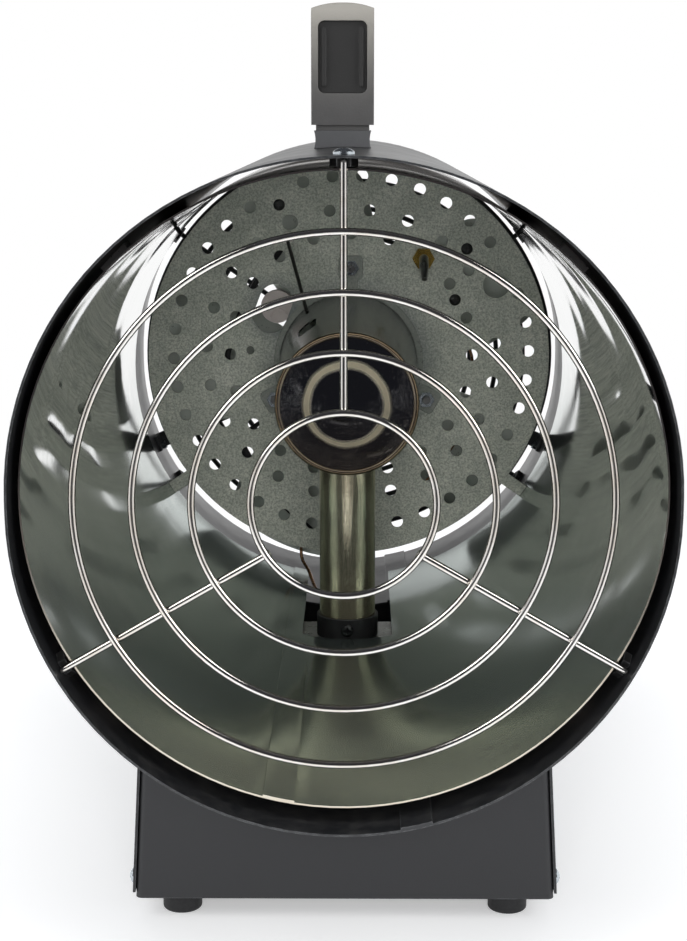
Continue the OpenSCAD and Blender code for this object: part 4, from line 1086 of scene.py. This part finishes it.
@dataclass
class Handle(SubAssembly):
    """The carrying handle with its insets, pedestals and screws."""

    def build(self) -> None:
        """Dresses the mouldings and their screws."""
        self.dress(Finishes.grip_plastic, "handle_grip")
        self.dress(Finishes.grey_plastic, "handle_pedestals")
        self.dress(Finishes.black_plastic, "handle_insets")
        self.dress(Finishes.raw_steel, "handle_screws")


@dataclass
class Controls(SubAssembly):
    """The gas valve, the igniter, the switch, the cord gland and the gas path."""

    def build(self) -> None:
        """Dresses the controls in the base and the pieces that carry the gas."""
        self.dress(Finishes.cast_body, "gas_valve")
        self.dress(Finishes.brass, "gas_inlet", "gas_nozzle")
        self.dress(Finishes.red_plastic, "gas_button", "switch_rocker")
        self.dress(Finishes.copper, "gas_pipe")
        self.dress(Finishes.raw_steel, "nozzle_bracket")
        self.dress(Finishes.black_plastic, "igniter_body", "igniter_button", "switch_frame")
        self.dress(Finishes.black_plastic, "cord_gland", "gland_nut")


@dataclass(frozen=True)
class Lamp:
    """A square lamp that faces the heater.

    Args:
        name: Name of the lamp.
        place: Place of the lamp.
        size: Side of the lamp.
        power: Power in watts.
        mirrored: Whether metal shows the lamp itself.
    """

    name: str
    place: tuple[float, float, float]
    size: float
    power: float
    mirrored: bool = True

    def add(self, target: tuple[float, float, float]) -> None:
        """Adds the lamp to the scene.

        Args:
            target: Place that the lamp faces.
        """
        data = bpy.data.lights.new(self.name, "AREA")
        data.shape = "SQUARE"
        data.size = self.size
        data.energy = self.power
        lamp = bpy.data.objects.new(self.name, data)
        lamp.location = self.place
        lamp.visible_glossy = self.mirrored
        way = Vector(target) - Vector(self.place)
        lamp.rotation_euler = way.to_track_quat("-Z", "Y").to_euler()
        bpy.context.scene.collection.objects.link(lamp)


@dataclass
class Studio:
    """The camera, the floor, the world and the lamps.

    Args:
        eye: Place of the camera.
        pitch: Degrees that the camera looks down.
        yaw: Degrees that the camera turns to the left.
        lens: Focal length in millimetres on a 36 mm sensor.
        fill: Strength of the world's even light.
        fill_tint: Colour of the world's even light.
        floor_tone: Brightness of the floor's colour.
        floor_glow: Strength that lifts the floor towards white where it is seen.
        floor_fade: Distances between which the floor fades into the background.
        room: Colour of the dark room that metal mirrors.
        front_fade: Directions to the front between which the white starts.
        side_fade: Directions to either side between which the white starts.
        below_fade: Directions down between which the white starts.
        above_fade: Directions up between which the white ends.
        slant: How much higher the white reaches on the right.
        ceiling: Share of the white that is left above.
        target: Place that the lamps face.
        lamps: The lamps.
    """

    eye: tuple[float, float, float] = (0.0046, -0.80675, 0.2906)
    pitch: float = 10.63
    yaw: float = 0.4386
    lens: float = 72.46
    fill: float = 0.5
    fill_tint: Colour = (0.92, 0.95, 1.0)
    floor_tone: float = 0.86
    floor_glow: float = 0.34
    floor_fade: tuple[float, float] = (0.34, 0.62)
    room: Colour = (0.035, 0.035, 0.04)
    front_fade: tuple[float, float] = (-0.75, -0.2)
    side_fade: tuple[float, float] = (0.45, 0.75)
    below_fade: tuple[float, float] = (-0.2, -0.45)
    above_fade: tuple[float, float] = (0.12, 0.42)
    slant: float = 0.35
    ceiling: float = 0.03
    target: tuple[float, float, float] = (0.0, 0.0, 0.16)
    lamps: tuple[Lamp, ...] = (
        Lamp("key_left", (-0.95, -0.75, 0.95), 0.8, 6.0),
        Lamp("key_right", (0.95, -0.6, 0.8), 0.7, 5.0),
        Lamp("front", (0.0, -1.65, 0.42), 0.7, 14.0, mirrored=False),
        Lamp("overhead", (0.0, 0.25, 1.4), 1.0, 6.0, mirrored=False),
    )

    def build(self) -> None:
        """Builds the studio in order."""
        self.camera()
        self.floor()
        self.world()
        for lamp in self.lamps:
            lamp.add(self.target)

    def camera(self) -> None:
        """Places the camera at the photograph's viewing angle."""
        data = bpy.data.cameras.new("studio_camera")
        data.sensor_width = 36.0
        data.sensor_fit = "AUTO"
        data.lens = self.lens
        data.clip_start = 0.05
        camera = bpy.data.objects.new("studio_camera", data)
        camera.location = self.eye
        camera.rotation_euler = (math.radians(90 - self.pitch), 0.0, math.radians(self.yaw))
        bpy.context.scene.collection.objects.link(camera)
        bpy.context.scene.camera = camera

    def floor(self) -> None:
        """Makes the pale floor, which keeps the shadow and fades into the white background."""
        mesh = bpy.data.meshes.new("studio_floor")
        near, far, side = -0.62, 2.2, 1.9
        corners = [(-side, near, 0.0), (side, near, 0.0), (side, far, 0.0), (-side, far, 0.0)]
        mesh.from_pydata(corners, [], [(0, 1, 2, 3)])
        floor = bpy.data.objects.new("studio_floor", mesh)
        bpy.context.scene.collection.objects.link(floor)
        material = bpy.data.materials.new("studio_floor")
        material.use_nodes = True
        graph = Graph(material.node_tree)
        shader = material.node_tree.nodes["Principled BSDF"]
        shader.inputs["Roughness"].default_value = 0.9
        shader.inputs["Specular IOR Level"].default_value = 0.2
        graph.feed(shader.inputs["Base Color"], (self.floor_tone,) * 3)
        graph.feed(shader.inputs["Emission Color"], WHITE)
        path = graph.add("ShaderNodeLightPath").outputs
        seen = graph.math("MAXIMUM", path["Is Camera Ray"], path["Is Glossy Ray"])
        seen = graph.math("MAXIMUM", seen, path["Is Transmission Ray"])
        glow = graph.math("MULTIPLY", seen, self.floor_glow)
        graph.feed(shader.inputs["Emission Strength"], glow)
        flat = graph.vector("LENGTH", graph.place()).outputs["Value"]
        away = graph.math("MULTIPLY", graph.span(flat, *self.floor_fade, 0.0, 1.0), seen)
        white = graph.add("ShaderNodeEmission", {"Color": WHITE, "Strength": 1.0})
        mixed = {0: away, 1: shader.outputs[0], 2: white.outputs[0]}
        mix = graph.add("ShaderNodeMixShader", mixed)
        graph.feed(material.node_tree.nodes["Material Output"].inputs[0], mix.outputs[0])
        mesh.materials.append(material)

    def world(self) -> None:
        """Sets a white background for the camera, and a white one with a dark room for metal.

        Metal shows white behind, beside and below the heater, and the dark room above and in
        front of it. The white reaches higher on the right.
        """
        world = bpy.data.worlds.new("studio_world")
        bpy.context.scene.world = world
        world.use_nodes = True
        world.node_tree.nodes.clear()
        graph = Graph(world.node_tree)
        path = graph.add("ShaderNodeLightPath").outputs
        across, along, up = graph.split(graph.add("ShaderNodeTexCoord").outputs["Generated"])
        aside = graph.math("ABSOLUTE", across)
        front = graph.span(along, *self.front_fade, 0.0, 1.0)
        side = graph.span(aside, *self.side_fade, 0.0, 1.0)
        right = graph.math("MAXIMUM", across, 0.0)
        rise = graph.math("MULTIPLY_ADD", right, -self.slant, up)
        above = graph.span(rise, *self.above_fade, 1.0, self.ceiling)
        below = graph.span(up, *self.below_fade, 0.0, 1.0)
        around = graph.math("MAXIMUM", front, side)
        lit = graph.math("MULTIPLY", graph.math("MAXIMUM", around, below), above)
        mirrored = graph.blend(lit, self.room, WHITE)
        fill = self.backdrop(graph, self.fill_tint, self.fill)
        room = self.backdrop(graph, mirrored, 1.0)
        white = self.backdrop(graph, WHITE, 1.0)
        lights = {0: path["Is Glossy Ray"], 1: fill, 2: room}
        mix = graph.add("ShaderNodeMixShader", lights)
        seen = graph.math("MAXIMUM", path["Is Camera Ray"], path["Is Transmission Ray"])
        both = graph.add("ShaderNodeMixShader", {0: seen, 1: mix.outputs[0], 2: white})
        out = graph.add("ShaderNodeOutputWorld")
        graph.feed(out.inputs[0], both.outputs[0])

    @staticmethod
    def backdrop(graph: Graph, colour: object, strength: float) -> Socket:
        """Adds a background shader.

        Args:
            graph: The world's graph.
            colour: Its colour or a colour's socket.
            strength: Its strength.

        Returns:
            The shader's socket.
        """
        return graph.add("ShaderNodeBackground", {"Color": colour, "Strength": strength}).outputs[0]


def main() -> None:
    """Builds the heater's looks in order."""
    logging.basicConfig(level=logging.INFO, format="%(message)s")
    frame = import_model()
    nodes = frame["nodes"]
    scene = bpy.context.scene
    scene.view_settings.view_transform = "Standard"
    EFFECTS.build()
    Studio().build()
    for kind in (Tube, BurnerSet, FanDrive, Base, Handle, Controls):
        kind(nodes).build()
        LOG.info("built %s", kind.__name__)


if __name__ == "__main__":
    main()
